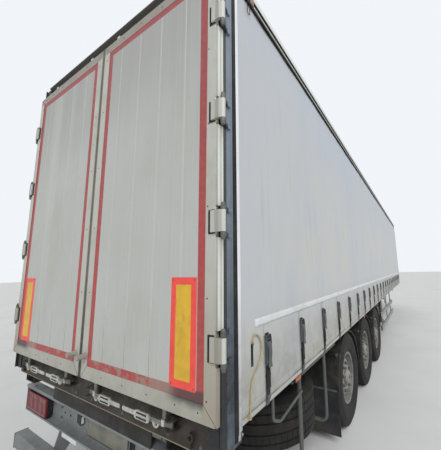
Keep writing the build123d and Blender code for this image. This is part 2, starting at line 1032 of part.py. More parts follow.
plank_count = round((door_outer - door_inner) / plank_pitch)
planks_first = (door_inner + door_outer - plank_pitch * plank_count) / 2
with BuildPart() as door_panel:
    block(
        (frame_near, frame_far),
        (plank_inset, door_thickness - plank_inset),
        (frame_low, frame_high),
    )
    with BuildSketch(plan_plane(frame_low)) as seams:
        for number in range(1, plank_count):
            seam_x = planks_first + plank_pitch * number
            with Locations((seam_x, plank_inset), (seam_x, door_thickness - plank_inset)):
                Rectangle(plank_groove, plank_groove)
    extrude(seams.sketch, amount=frame_high - frame_low, mode=Mode.SUBTRACT)
export_pair(door_panel, "door_panel")

# Door seals: a lip in the middle gap and a strip round the back of the leaf
with BuildPart() as door_seal:
    block((seal_lip, door_inner), (0, door_thickness), (door_bottom, door_top))
    block(
        (door_inner, door_outer - seal_width),
        (door_thickness, door_thickness + seal_thickness),
        (door_bottom + seal_thickness, door_top - seal_thickness),
    )
    block(
        (door_inner + 2 * seal_width, door_outer - 2 * seal_width),
        (door_thickness, door_thickness + seal_thickness),
        (door_bottom + 2 * seal_width, door_top - 2 * seal_width),
        mode=Mode.SUBTRACT,
    )
export_pair(door_seal, "door_seal")

# Lock gear: each rod's end with its hub and cam, and a handle that points at the other one
# columns: rod place, way the handle points, length of the arm, length of the lever
handles = (
    (rod_inner, 1, 74, 94),
    (rod_outer, -1, 100, 122),
)
with BuildPart() as lock_gear:
    for rod_x, way, arm_length, lever_length in handles:
        body_near = rod_x + way * arm_length
        body_far = body_near + way * body_length_of_handle
        lever_tip = body_far + way * lever_length
        cam_x = rod_x - way * keeper_offset
        upright(rod_x, rod_station, rod_radius, cam_bottom, door_bottom)
        upright(rod_x, rod_station, hub_collar_radius, cam_bottom, cam_top)
        with BuildSketch(plan_plane(cam_bottom)) as cam:
            with Locations(((rod_x + cam_x) / 2, rod_station)):
                SlotCenterToCenter(keeper_offset, 2 * cam_nose_radius)
        extrude(cam.sketch, amount=cam_top - cam_bottom)
        with BuildSketch(cross_plane(body_front)) as handle_body:
            with Locations(((body_near + body_far) / 2, handle_z)):
                SlotOverall(body_length_of_handle, 2 * body_half_height)
                with Locations((0, body_half_height / 2), (0, -body_half_height / 2)):
                    SlotOverall(
                        body_length_of_handle - 2 * body_half_height,
                        body_slot_half_height,
                        mode=Mode.SUBTRACT,
                    )
        extrude(handle_body.sketch, amount=body_front - body_rear)
        with BuildSketch(cross_plane(lever_half_thickness)) as lever_bar:
            with BuildLine():
                tip_cut = way * lever_half_height / 2
                Polyline(
                    (body_far - way * body_half_height, handle_z - lever_half_height),
                    (lever_tip - tip_cut, handle_z - lever_half_height),
                    (lever_tip, handle_z),
                    (lever_tip - tip_cut, handle_z + lever_half_height),
                    (body_far - way * body_half_height, handle_z + lever_half_height),
                    close=True,
                )
            make_face()
        extrude(lever_bar.sketch, amount=2 * lever_half_thickness)
        block(
            span(rod_x, way * (arm_length + body_half_height)),
            (0, rod_station),
            about(handle_z, lever_half_height),
        )
        block(
            about(rod_x, top_cam_half_width),
            (0, top_cam_reach),
            (door_top, door_top + top_cam_height),
        )
        with BuildSketch(cross_plane(body_front)) as claw:
            with Locations((rod_x + way * (hub_collar_radius + claw_radius), handle_z)):
                Circle(claw_radius)
                Circle(claw_radius - claw_wall, mode=Mode.SUBTRACT)
                with Locations((0, claw_radius)):
                    Rectangle(2 * claw_radius, 2 * claw_radius, mode=Mode.SUBTRACT)
        extrude(claw.sketch, amount=body_front - body_rear)
export_pair(lock_gear, "lock_gear")

# Door buffers: a rubber peg on a round base
with BuildPart() as door_buffer:
    lengthwise(buffer_x, buffer_z, buffer_base_radius, -buffer_base, 0)
    lengthwise(buffer_x, buffer_z, buffer_radius, -buffer_reach, -buffer_base)
export_pair(door_buffer, "door_buffer")

# Light carrier, lamps and underrun bar
with BuildPart() as light_carrier:
    carrier = [
        (carrier_top_rear, carrier_top),
        (carrier_top_rear, carrier_top - carrier_plate),
        (carrier_web, carrier_top - carrier_plate),
        (carrier_web, carrier_bottom + carrier_plate),
        (carrier_shelf_rear, carrier_bottom + carrier_plate),
        (carrier_shelf_rear, carrier_bottom),
        (carrier_web + carrier_plate, carrier_bottom),
        (carrier_web + carrier_plate, carrier_top),
    ]
    side_profile(carrier, -carrier_half_width, carrier_half_width)
export(light_carrier, "light_carrier")
with BuildPart() as tail_lamps:
    block((lamp_inner, lamp_outer), (lamp_rear, lamp_base), (lamp_bottom, lamp_top))
    fillet(tail_lamps.faces().sort_by(Axis.Y)[0].edges(), radius=lamp_rounding)
    block(
        (lamp_inner + lamp_base_margin, lamp_outer - lamp_base_margin),
        (lamp_base, carrier_web),
        (lamp_bottom + lamp_base_margin, lamp_top - lamp_base_margin),
    )
    mirror(about=Plane.YZ)
    block(
        about(plate_lamp_x, plate_lamp_half_width),
        (carrier_web - plate_lamp_depth, carrier_web),
        (plate_lamp_bottom, plate_lamp_top),
    )
export(tail_lamps, "tail_lamps")
with BuildPart() as underrun_bar:
    with BuildSketch(side_plane(-bar_half_width)) as bar_section:
        with Locations(((bar_rear + bar_front) / 2, (bar_bottom + bar_top) / 2)):
            RectangleRounded(bar_front - bar_rear, bar_top - bar_bottom, bar_rounding)
            RectangleRounded(
                bar_front - bar_rear - 2 * bar_wall,
                bar_top - bar_bottom - 2 * bar_wall,
                bar_rounding - bar_wall,
                mode=Mode.SUBTRACT,
            )
    extrude(bar_section.sketch, amount=2 * bar_half_width)
    bracket = [
        (bar_front, bar_bottom + bar_rounding),
        (bar_front + bracket_x / 10, bar_bottom + bar_rounding),
        (bracket_front, carrier_bottom),
        (bracket_front, tail_underside),
        (carrier_web + carrier_plate, tail_underside),
        (carrier_web + carrier_plate, carrier_bottom - carrier_plate),
        (bar_front, bar_top - bar_rounding),
    ]
    for hand in (-1, 1):
        side_profile(bracket, *about(hand * bracket_x, bracket_thickness / 2))
export(underrun_bar, "underrun_bar")

# Axles with stubs, torque plates, brake calipers and chambers
axle_end = wheel_x + torque_plate_outer
with BuildPart() as one_axle_end:
    crosswise(0, axle_z, axle_radius, 0, axle_end)
    crosswise(0, axle_z, stub_radius, axle_end, wheel_x + stub_end)
    crosswise(0, axle_z, torque_plate_radius, wheel_x + torque_plate_inner, axle_end)
    with BuildPart(mode=Mode.PRIVATE) as caliper:
        block(
            (wheel_x + torque_plate_inner, wheel_x + caliper_outer),
            (caliper_near, caliper_far),
            about(axle_z, caliper_half_height),
        )
        fillet(caliper.edges().filter_by(Axis.X).group_by(Axis.Y)[-1], radius=caliper_half_height / 3)
        crosswise(
            0,
            axle_z,
            brake_disc_radius + caliper_clear,
            wheel_x + brake_disc_inner - caliper_clear,
            wheel_x + brake_disc_outer + caliper_clear,
            mode=Mode.SUBTRACT,
        )
    add(caliper.part)
    chamber_z = axle_z + chamber_rise
    chamber_far = wheel_x + torque_plate_inner
    crosswise(chamber_ahead, chamber_z, chamber_radius, chamber_far - chamber_length, chamber_far)
    mirror(about=Plane.YZ)
with BuildPart() as axles:
    with Locations(*[(0, station, 0) for station in axle_stations]):
        add(one_axle_end.part)
export(axles, "axles")

# Suspension: hangers, trailing arms clamped over the axle, and dampers, first at the door face
clamp_bottom = axle_z - axle_radius - clamp_plate
with BuildPart() as one_arm:
    pivot = hanger_ahead
    hanger = [
        (pivot - hanger_rounding, pivot_z),
        (pivot + hanger_rounding, pivot_z),
        (pivot + hanger_half_top, bogie_underside),
        (pivot - hanger_half_top, bogie_underside),
    ]
    for side in (-1, 1):
        edges = span(beam_x + side * hanger_width / 2, -side * hanger_plate)
        side_profile(hanger, *edges)
        crosswise(pivot, pivot_z, hanger_rounding, *edges)
    block(
        about(beam_x, hanger_width / 2),
        (pivot + hanger_rounding, pivot + hanger_rounding + hanger_plate),
        (pivot_z + 2 * hanger_rounding, bogie_underside),
    )
    crosswise(pivot, pivot_z, pivot_radius, *about(beam_x, hanger_width / 2 + hanger_plate))
    arm_low = axle_z + axle_radius
    arm = [
        (pivot, pivot_z + eye_radius / 2),
        (clamp_half_length, arm_crown),
        (-clamp_half_length, arm_crown),
        (-spring_behind + spring_plate_radius, arm_tail_top),
        (-arm_behind, arm_tail_top),
        (-arm_behind, arm_tail_bottom),
        (-spring_behind + spring_plate_radius, arm_tail_bottom),
        (-clamp_half_length, arm_low),
        (clamp_half_length, arm_low),
        (pivot, pivot_z - eye_radius / 2),
    ]
    side_profile(arm, *about(beam_x, arm_width / 2))
    crosswise(pivot, pivot_z, eye_radius, *about(beam_x, arm_width / 2))
    for plate_low in (arm_crown, clamp_bottom):
        block(
            about(beam_x, clamp_half_width),
            about(0, clamp_half_length),
            (plate_low, plate_low + clamp_plate),
        )
    for side_x in (-1, 1):
        for side_y in (-1, 1):
            upright(
                beam_x + side_x * clamp_bolt_x,
                side_y * clamp_bolt_y,
                clamp_bolt_radius,
                clamp_bottom,
                arm_crown + 2 * clamp_plate,
            )
    damper_x = beam_x - damper_in
    crosswise(-damper_low_behind, damper_low_z, damper_rod_radius, damper_x, beam_x)
    block(
        (damper_x - damper_radius, flange_inner + damper_radius),
        about(damper_high_ahead, damper_radius),
        (damper_high_z, bogie_underside),
    )
    damper_plane = Plane(
        origin=place(damper_x, -damper_low_behind, damper_low_z),
        z_dir=(0, damper_high_ahead + damper_low_behind, damper_high_z - damper_low_z),
    )
    damper_length = sqrt((damper_high_ahead + damper_low_behind) ** 2 + (damper_high_z - damper_low_z) ** 2)
    with BuildSketch(damper_plane) as damper_tube:
        Circle(damper_radius)
    extrude(damper_tube.sketch, amount=damper_length * 0.55)
    with BuildSketch(damper_plane) as damper_rod:
        Circle(damper_rod_radius)
    extrude(damper_rod.sketch, amount=damper_length)
    mirror(about=Plane.YZ)
with BuildPart() as suspension:
    with Locations(*[(0, station, 0) for station in axle_stations]):
        add(one_arm.part)
export(suspension, "suspension")

# Air springs: a tapered piston, a rolling bellows and a top plate
with BuildPart() as one_spring:
    with BuildSketch(cross_plane(0)) as spring_half:
        with BuildLine():
            waist = arm_tail_top + piston_height
            plate_low = bogie_underside - spring_plate_thickness
            roll = spring_radius - piston_top_radius
            Polyline(
                (0, arm_tail_top),
                (piston_base_radius, arm_tail_top),
                (piston_top_radius, waist),
                (spring_waist_radius, waist - roll / 2),
                (spring_radius, waist + roll / 2),
                (spring_radius, plate_low - roll),
                (spring_waist_radius, plate_low),
                (spring_plate_radius, plate_low),
                (spring_plate_radius, bogie_underside),
                (0, bogie_underside),
                close=True,
            )
        make_face()
    revolve(spring_half.sketch, Axis(place(0, 0, 0), (0, 0, 1)))
with BuildPart() as air_springs:
    with Locations(
        *[(hand * beam_x, station - spring_behind, 0) for hand in (-1, 1) for station in axle_stations]
    ):
        add(one_spring.part)
export(air_springs, "air_springs")


# Wheels: a tyre and a rim, drawn at the origin with X outward along their axis
def ring(points):
    """A solid of revolution round the X axis from a half section lying over it."""
    with BuildPart() as turned:
        with BuildSketch(Plane.XY) as half_section:
            with BuildLine():
                Polyline(*points, close=True)
            make_face()
        revolve(half_section.sketch, Axis.X)
    return turned


half_tyre = tyre_width / 2
rim_edge = bead_half_width + rim_flange
rim_well = bead_radius - rim_wall
rim_lip = bead_radius + rim_flange_height
tyre_foot = rim_lip + 2
bore = stub_radius + stub_clearance
tyre_form = ring(
    [
        (-bead_half_width, bead_radius),
        (bead_half_width, bead_radius),
        (bead_half_width, tyre_foot),
        (half_tyre, bulge_radius),
        (tread_half_width, tyre_radius),
        (-tread_half_width, tyre_radius),
        (-half_tyre, bulge_radius),
        (-bead_half_width, tyre_foot),
    ]
)
rim_barrel = [
    (disc_offset + disc_thickness, disc_seat_radius),
    (disc_offset / 2 + 2 * disc_thickness, rim_well),
    (rim_edge, rim_well),
    (rim_edge, rim_lip),
    (bead_half_width, rim_lip),
    (bead_half_width, bead_radius),
    (-bead_half_width, bead_radius),
    (-bead_half_width, rim_lip),
    (-rim_edge, rim_lip),
    (-rim_edge, rim_well),
    (disc_offset / 2, rim_well),
    (disc_offset, disc_seat_radius),
]
hub_form = [
    (disc_offset, brake_neck_radius),
    (brake_disc_outer, brake_neck_radius),
    (brake_disc_outer, brake_disc_radius),
    (brake_disc_inner, brake_disc_radius),
    (brake_disc_inner, bore),
    (stub_end + stub_clearance, bore),
    (stub_end + stub_clearance, 0),
    (hub_cap_reach, 0),
    (hub_cap_reach, hub_cap_radius),
    (disc_offset + 3 * disc_thickness, hub_radius),
    (disc_offset + disc_thickness, hub_radius),
]
spare_bore = [
    (disc_offset, hub_radius),
    (disc_offset + disc_thickness, hub_radius),
]


def cut_hand_holes(rim_form):
    """Opens the ring of hand holes through the cone of the rim's disc."""
    with rim_form:
        with BuildSketch(Plane.YZ.offset(disc_offset / 2 - disc_thickness)) as holes:
            with PolarLocations(hand_hole_circle, hand_hole_count):
                Circle(hand_hole_radius)
        extrude(holes.sketch, amount=disc_offset, mode=Mode.SUBTRACT)
    return rim_form


wheel_rim = cut_hand_holes(ring(rim_barrel + hub_form))
spare_wheel_rim = cut_hand_holes(ring(rim_barrel + spare_bore))

for hand, side in ((-1, "left"), (1, "right")):
    for number, station in enumerate(axle_stations, start=1):
        turn = 0 if hand > 0 else 180
        wheel_place = Location(place(hand * wheel_x, station, axle_z), (0, 0, turn))
        for form, name in ((tyre_form, "tyre"), (wheel_rim, "rim")):
            with BuildPart() as wheel_piece:
                with Locations(wheel_place):
                    add(form.part)
            export(wheel_piece, f"{name}_{side}_{number}")

# Spare wheel lying flat, and the round tubes that cradle it
spare_middle = spare_bottom + tyre_width / 2
spare_place = Location(place(spare_x, spare_station, spare_middle), (0, 90, 0))
for form, name in ((tyre_form, "spare_tyre"), (spare_wheel_rim, "spare_rim")):
    with BuildPart() as spare_piece:
        with Locations(spare_place):
            add(form.part)
    export(spare_piece, name)
cradle_z = spare_bottom - cradle_radius
cradle_top = member_bottom - cradle_rail_height
with BuildPart() as spare_carrier:
    cradle = [
        (cradle_inner_x, cradle_top),
        (cradle_inner_x, cradle_z),
        (cradle_outer_x, cradle_z),
        (cradle_outer_x, cradle_top),
    ]
    for side in (-1, 1):
        bent_tube(cross_plane(spare_station + side * cradle_spread), cradle, cradle_bend, cradle_radius)
    for rail_x in (cradle_inner_x, cradle_outer_x):
        block(
            about(rail_x, cradle_rail_width / 2),
            (member_stations[cradle_members[0]], member_stations[cradle_members[1]] + member_width),
            (cradle_top, member_bottom),
        )
    guide = [
        (spare_station - cradle_spread, guide_start),
        (guide_low_station, guide_low),
        (guide_end_station, guide_start),
        (guide_end_station, rave_bottom),
    ]
    bent_tube(side_plane(guide_x), guide, guide_bend, guide_radius)
export(spare_carrier, "spare_carrier")

# Mudguards: flattened arches under the outriggers, and the flaps behind the last pair
guard_radius = tyre_radius + guard_gap
rise = member_bottom - axle_z
flat_half = sqrt(guard_radius**2 - rise**2)
stay_path = guard_radius + stay_radius - 1
stay_reach = sqrt(stay_path**2 - (stay_z - axle_z) ** 2)


def guard_arch(x, wall):
    """Face of a wheel arch with a flat top, as thick as its wall, at a place across."""
    with BuildSketch(side_plane(x)) as arch:
        with Locations((0, axle_z)):
            Circle(guard_radius)
            Circle(guard_radius - wall, mode=Mode.SUBTRACT)
        with Locations((0, member_bottom + guard_radius / 2)):
            Rectangle(3 * guard_radius, guard_radius, mode=Mode.SUBTRACT)
        with Locations((0, guard_bottom - guard_radius)):
            Rectangle(3 * guard_radius, 2 * guard_radius, mode=Mode.SUBTRACT)
        with Locations((0, member_bottom - guard_wall / 2)):
            Rectangle(2 * flat_half, guard_wall)
    return arch.sketch


with BuildPart() as one_guard:
    extrude(guard_arch(guard_inner, guard_wall), amount=guard_outer - guard_inner)
    extrude(guard_arch(guard_outer - guard_lip_width, guard_lip), amount=guard_lip_width)
    for side in (-1, 1):
        crosswise(side * stay_reach, stay_z, stay_radius, web_outer, guard_outer)
    mirror(about=Plane.YZ)
with BuildPart() as mudguards:
    with Locations(*[(0, station, 0) for station in axle_stations]):
        add(one_guard.part)
export(mudguards, "mudguards")
flap_station = axle_first - guard_radius
with BuildPart() as mudflaps:
    for hand in (-1, 1):
        block(
            about(hand * wheel_x, flap_half_width),
            (flap_station - flap_thickness, flap_station),
            (flap_bottom, guard_bottom + flap_overlap),
        )
export(mudflaps, "mudflaps")

# Side guards between the wheels and the landing legs
guard_rail_inner = guard_rail_outer - guard_rail_size
with BuildPart() as side_guards:
    for row in guard_rail_rows:
        block(
            (guard_rail_inner, guard_rail_outer),
            (guard_rail_rear, guard_rail_front),
            about(row, guard_rail_height / 2),
        )
    for number in stanchion_members:
        middle = member_stations[number] + member_width / 2
        block(
            (guard_rail_inner - guard_rail_size, guard_rail_inner),
            about(middle, stanchion_width / 2),
            (guard_rail_rows[0] - guard_rail_height / 2, member_bottom),
        )
    mirror(about=Plane.YZ)
export(side_guards, "side_guards")

# Air tanks with domed ends, hung across the trailer from the cross members
with BuildPart() as air_tanks:
    for number in tank_members:
        station = member_stations[number] + member_width / 2
        crosswise(station, tank_z, tank_radius, -tank_length / 2, tank_length / 2)
    fillet(air_tanks.edges().filter_by(GeomType.CIRCLE), radius=tank_end_rounding)
    for number in tank_members:
        station = member_stations[number] + member_width / 2
        for hand in (-1, 1):
            block(
                about(hand * tank_length / 3, strap_band / 2),
                about(station, strap_band),
                (tank_z + tank_radius / 2, member_bottom),
            )
export(air_tanks, "air_tanks")

# Landing legs with mounts, stays, brace, shaft, gearbox, crank and feet
leg_inside = leg_x - leg_outer_size / 2
leg_outside = leg_x + leg_outer_size / 2
mount_low = waist_underside + flange_thickness
with BuildPart() as one_leg:
    block(
        (leg_inside, leg_outside),
        about(leg_station, leg_outer_size / 2),
        (leg_outer_bottom, leg_outer_top),
    )
    fillet(one_leg.edges().filter_by(Axis.Z), radius=leg_rounding)
    block(
        about(leg_x, leg_inner_size / 2),
        about(leg_station, leg_inner_size / 2),
        (leg_inner_bottom, leg_outer_bottom),
    )
    block(
        about(leg_x, foot_width / 2),
        about(leg_station, foot_length / 2),
        (0, foot_thickness),
    )
    ear = [
        (leg_station - foot_ear_half_length, foot_thickness),
        (leg_station + foot_ear_half_length, foot_thickness),
        (leg_station + foot_ear_half_length / 2, foot_ear_top),
        (leg_station - foot_ear_half_length / 2, foot_ear_top),
    ]
    for side in (-1, 1):
        ear_edges = span(leg_x + side * (leg_inner_size / 2), side * foot_ear_thickness)
        side_profile(ear, *ear_edges)
    pin_half = leg_inner_size / 2 + 2 * foot_ear_thickness
    crosswise(leg_station, foot_pin_z, foot_pin_radius, *about(leg_x, pin_half))
    mount_rows = (mount_low, mount_low + leg_mount_height)
    for side in (-1, 1):
        block(
            (web_outer, leg_inside),
            span(leg_station + side * leg_mount_half_length, -side * leg_mount_plate),
            mount_rows,
        )
    block((leg_inside - leg_mount_plate, leg_inside), about(leg_station, leg_mount_half_length), mount_rows)
    stay_bar = [
        (leg_station - stay_bar_reach, waist_underside),
        (leg_station - stay_bar_reach + stay_bar_depth, waist_underside),
        (leg_station + stay_bar_depth / 2, stay_bar_low + stay_bar_width),
        (leg_station + stay_bar_depth / 2, stay_bar_low),
    ]
    side_profile(stay_bar, leg_inside - stay_bar_width, leg_inside)
    crosswise(leg_station, shaft_z, shaft_radius, 0, leg_inside)
    block((0, leg_inside), about(leg_station, brace_size / 2), about(brace_z, brace_size / 2))
    mirror(about=Plane.YZ)
with BuildPart() as landing_legs:
    add(one_leg.part)
    block(
        (leg_outside, leg_outside + gearbox_depth),
        about(leg_station, gearbox_half_length),
        (gearbox_low, gearbox_high),
    )
    crank_x = leg_outside + gearbox_depth + crank_out
    crank = [
        (leg_outside, crank_z),
        (crank_x, crank_z),
        (crank_x, crank_z - crank_drop),
        (crank_x + crank_handle, crank_z - crank_drop),
    ]
    bent_tube(cross_plane(leg_station), crank, 2 * crank_radius, crank_radius)
export(landing_legs, "landing_legs")

# Loose rope that hangs from the ring of the right hand strap tab, its route as station and height
rope_route = (
    (rope_tab_station, rope_tab_top),
    (rope_tab_station, 1556),
    (343, 1574),
    (376, 1560),
    (402, 1528),
    (413, 1478),
    (402, 1424),
    (368, 1388),
    (325, 1362),
    (294, 1322),
    (282, 1262),
    (278, 1200),
    (273, 1145),
)
rope_points = [Vector(rope_x, rear_y + station, z) for station, z in rope_route]
rope_runs = [end - start for start, end in zip(rope_points, rope_points[1:])]
rope_bends = []
for before, after in zip(rope_runs, rope_runs[1:]):
    half_turn = radians(before.get_angle(after)) / 2
    rope_bends.append(rope_bend_share * min(before.length, after.length) / tan(half_turn))
print("rope bends", [round(bend) for bend in rope_bends])
with BuildPart() as loose_rope:
    with BuildLine() as rope_line:
        FilletPolyline(*rope_points, radius=rope_bends)
    rope_path = rope_line.wire()
    with BuildSketch(Plane(origin=rope_path @ 0, z_dir=rope_path % 0)) as rope_section:
        Circle(rope_radius)
    sweep(rope_section.sketch, path=rope_path)
rope_share = loose_rope.part.volume / (pi * rope_radius**2 * rope_path.length)
print("rope length", round(rope_path.length), "volume share", round(rope_share, 4))
export(loose_rope, "loose_rope")
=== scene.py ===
import bmesh
import bpy
import math
from itertools import product
from mathutils import Matrix, Vector


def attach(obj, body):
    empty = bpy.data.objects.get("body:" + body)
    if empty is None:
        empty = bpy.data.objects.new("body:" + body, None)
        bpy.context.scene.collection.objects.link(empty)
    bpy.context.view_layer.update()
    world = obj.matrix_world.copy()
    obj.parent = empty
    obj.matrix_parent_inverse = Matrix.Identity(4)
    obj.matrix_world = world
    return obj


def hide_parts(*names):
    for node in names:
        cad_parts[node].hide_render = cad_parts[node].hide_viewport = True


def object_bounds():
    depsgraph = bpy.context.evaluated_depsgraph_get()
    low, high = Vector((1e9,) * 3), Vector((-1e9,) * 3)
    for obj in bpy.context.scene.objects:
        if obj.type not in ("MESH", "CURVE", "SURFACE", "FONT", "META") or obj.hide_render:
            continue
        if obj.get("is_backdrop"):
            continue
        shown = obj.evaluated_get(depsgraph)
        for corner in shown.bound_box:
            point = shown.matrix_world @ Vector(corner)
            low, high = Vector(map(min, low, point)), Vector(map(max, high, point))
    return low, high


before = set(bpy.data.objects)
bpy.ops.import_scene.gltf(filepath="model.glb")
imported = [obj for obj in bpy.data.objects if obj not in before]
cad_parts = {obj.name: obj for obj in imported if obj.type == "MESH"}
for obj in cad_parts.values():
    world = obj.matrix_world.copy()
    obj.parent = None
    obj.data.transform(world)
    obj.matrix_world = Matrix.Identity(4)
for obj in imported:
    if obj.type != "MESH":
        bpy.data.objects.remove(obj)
cad_low, cad_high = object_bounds()
scene = bpy.context.scene

# Camera at the photographer's eye, level with the lower third of the doors
CAMERA_PLACE = Vector((2.1371, -7.7994, 1.9508))
CAMERA_RIGHT = Vector((0.85238, 0.52241, -0.02295))
CAMERA_UP = Vector((0.10141, -0.12209, 0.98733))
camera_data = bpy.data.cameras.new("camera")
camera_data.lens = 20.76
camera_data.sensor_width = 36
camera_data.shift_x = -0.0833
camera_data.shift_y = 0.0067
camera_data.clip_start = 0.05
camera_data.clip_end = 400
camera = bpy.data.objects.new("camera", camera_data)
scene.collection.objects.link(camera)
back = CAMERA_RIGHT.cross(CAMERA_UP)
camera.matrix_world = Matrix((CAMERA_RIGHT, CAMERA_UP, back)).transposed().to_4x4()
camera.location = CAMERA_PLACE
scene.camera = camera

# A pale sky and two soft studio lamps. The sky is bright to the camera, less in reflections, least as light
SKY_SEEN, SKY_LIGHT, SKY_REFLECTED = 0.95, 0.5, 0.75
world = bpy.data.worlds.new("studio")
scene.world = world
world.use_nodes = True
sky = world.node_tree
paths = sky.nodes.new("ShaderNodeLightPath")
seen = sky.nodes.new("ShaderNodeMath")
seen.operation = "MAXIMUM"
sky.links.new(paths.outputs["Is Camera Ray"], seen.inputs[0])
reflected = sky.nodes.new("ShaderNodeMath")
reflected.operation = "MULTIPLY"
reflected.inputs[1].default_value = SKY_REFLECTED
sky.links.new(paths.outputs["Is Glossy Ray"], reflected.inputs[0])
sky.links.new(reflected.outputs[0], seen.inputs[1])
level = sky.nodes.new("ShaderNodeMapRange")
level.inputs["To Min"].default_value = SKY_LIGHT
level.inputs["To Max"].default_value = SKY_SEEN
sky.links.new(seen.outputs[0], level.inputs["Value"])
sky.nodes["Background"].inputs["Color"].default_value = (0.93, 0.96, 1, 1)
sky.links.new(level.outputs[0], sky.nodes["Background"].inputs["Strength"])
scene.view_settings.view_transform = "Standard"


def lamp(name, toward, strength, softness):
    """A distant soft lamp that shines along the given direction."""
    data = bpy.data.lights.new(name, "SUN")
    data.energy = strength
    data.angle = math.radians(softness)
    lamp_object = bpy.data.objects.new(name, data)
    lamp_object.rotation_euler = Vector(toward).to_track_quat("-Z", "Y").to_euler()
    scene.collection.objects.link(lamp_object)


lamp("key_lamp", (-0.45, 0.62, -0.64), 1.5, 24)
lamp("fill_lamp", (-0.75, -0.35, -0.5), 0.45, 40)

# Finishes: procedural materials, whose colours are given from 0 to 255 as they show
finishes = {}


def rgb(colour, factor=1):
    """A colour in Blender's linear values, made lighter or darker by a factor."""
    linear = (((v / 255 + 0.055) / 1.055) ** 2.4 if v > 10 else v / 3294.6 for v in colour)
    return (*(min(1, v * factor) for v in linear), 1)


class Finish:
    """One material on object coordinates. Its methods add nodes, and lay colours and bumps over each other."""

    def __init__(self, name, colour, rough, metal=0, specular=0.5, coat=0):
        self.material = bpy.data.materials.new(name)
        self.material.use_nodes = True
        self.tree = self.material.node_tree
        self.shader = self.tree.nodes["Principled BSDF"]
        self.colour = rgb(colour)
        self.rough = rough
        self.heights = []
        for key, value in (("Metallic", metal), ("Specular IOR Level", specular), ("Coat Weight", coat),
                           ("Base Color", self.colour), ("Roughness", rough)):
            self.shader.inputs[key].default_value = value
        self.place = self.node("ShaderNodeTexCoord").outputs["Object"]
        finishes[name] = self

    def node(self, kind, inputs=None, **settings):
        """A new node with its settings, and a value or a link for each of the inputs."""
        made = self.tree.nodes.new(kind)
        for key, value in settings.items():
            setattr(made, key, value)
        for key, value in (inputs or {}).items():
            if isinstance(value, bpy.types.NodeSocket):
                self.tree.links.new(value, made.inputs[key])
            else:
                made.inputs[key].default_value = value
        return made

    def maths(self, operation, a, b=0):
        return self.node("ShaderNodeMath", {0: a, 1: b}, operation=operation).outputs[0]

    def times(self, first, *others):
        for other in others:
            first = self.maths("MULTIPLY", first, other)
        return first

    def noise(self, scale, detail=3, rough=0.55, stretch=(1, 1, 1)):
        space = self.node("ShaderNodeMapping", {"Vector": self.place, "Scale": stretch}).outputs[0]
        values = {"Vector": space, "Scale": scale, "Detail": detail, "Roughness": rough}
        return self.node("ShaderNodeTexNoise", values).outputs["Fac"]

    def wave(self, scale, axis):
        made = self.node("ShaderNodeTexWave", {"Vector": self.place, "Scale": scale}, bands_direction=axis)
        return made.outputs["Fac"]

    def along(self, axis):
        return self.node("ShaderNodeSeparateXYZ", {0: self.place}).outputs[axis]

    def off_centre(self):
        """The distance from the middle plane."""
        return self.maths("ABSOLUTE", self.along("X"))

    def ramp(self, value, low, high, out_low=0, out_high=1):
        """A soft step from out_low to out_high, as a value or a place along an axis goes from low to high."""
        value = self.along(value) if isinstance(value, str) else value
        values = {"Value": value, "From Min": low, "From Max": high, "To Min": out_low, "To Max": out_high}
        return self.node("ShaderNodeMapRange", values, interpolation_type="SMOOTHSTEP").outputs[0]

    def between(self, value, low, high, soft, amount=1):
        """The amount inside the band from low to high, fading over soft at each side."""
        value = self.along(value) if isinstance(value, str) else value
        rise, fall = self.ramp(value, low - soft, low + soft), self.ramp(value, high - soft, high + soft, amount, 0)
        return self.times(rise, fall)

    def tint(self, amount, colour, factor=1):
        """Lays a colour over what is there, as far as amount says."""
        values = {"Factor": amount, "A": self.colour, "B": rgb(colour, factor)}
        self.colour = self.node("ShaderNodeMix", values, data_type="RGBA").outputs["Result"]
        return self

    def roughen(self, amount, rough):
        values = {"Factor": amount, "A": self.rough, "B": rough}
        self.rough = self.node("ShaderNodeMix", values, data_type="FLOAT").outputs["Result"]

    def raised(self, height, depth):
        """Adds a height in metres to the bump."""
        self.heights.append(self.times(height, depth))

    def blotches(self, scale, colour, amount, stretch=(1, 1, 1), low=0.4, high=0.7, detail=5, factor=1):
        return self.tint(self.ramp(self.noise(scale, detail, 0.6, stretch), low, high, 0, amount), colour, factor)

    def dust_and_shade(self, colour, amount, low, high):
        """Road dirt that thins out from height low up to height high. On the pole and the post it is painted shade, and
        on the curtain partly.
        """
        fall = self.ramp("Z", low, high, 1, 0)
        spread = self.ramp(self.noise(9, 6, 0.65), 0.3, 0.7, 0.45, 1)
        return self.tint(self.times(fall, spread, amount), colour)

    def finished(self):
        if isinstance(self.colour, bpy.types.NodeSocket):
            self.tree.links.new(self.colour, self.shader.inputs["Base Color"])
        if isinstance(self.rough, bpy.types.NodeSocket):
            self.tree.links.new(self.rough, self.shader.inputs["Roughness"])
        if self.heights:
            total = self.heights[0]
            for height in self.heights[1:]:
                total = self.maths("ADD", total, height)
            bump = self.node("ShaderNodeBump", {"Distance": 1, "Strength": 1, "Height": total})
            self.tree.links.new(bump.outputs[0], self.shader.inputs["Normal"])
        return self.material


def painted(name, colour, rough, dirt, dirt_amount, chips=None, metal=0):
    """Sprayed steel: a little orange peel, road film and, where asked, chips down to another colour."""
    f = Finish(name, colour, rough, metal)
    f.blotches(2.2, colour, 0.5, factor=0.78)
    f.blotches(14, dirt, dirt_amount * 0.6, low=0.45, high=0.72)
    if chips:
        f.blotches(55, chips, 0.85, low=0.66, high=0.7)
    f.roughen(f.noise(30, 3), min(1, rough + 0.25))
    f.raised(f.noise(420, 2), 0.00025)
    return f


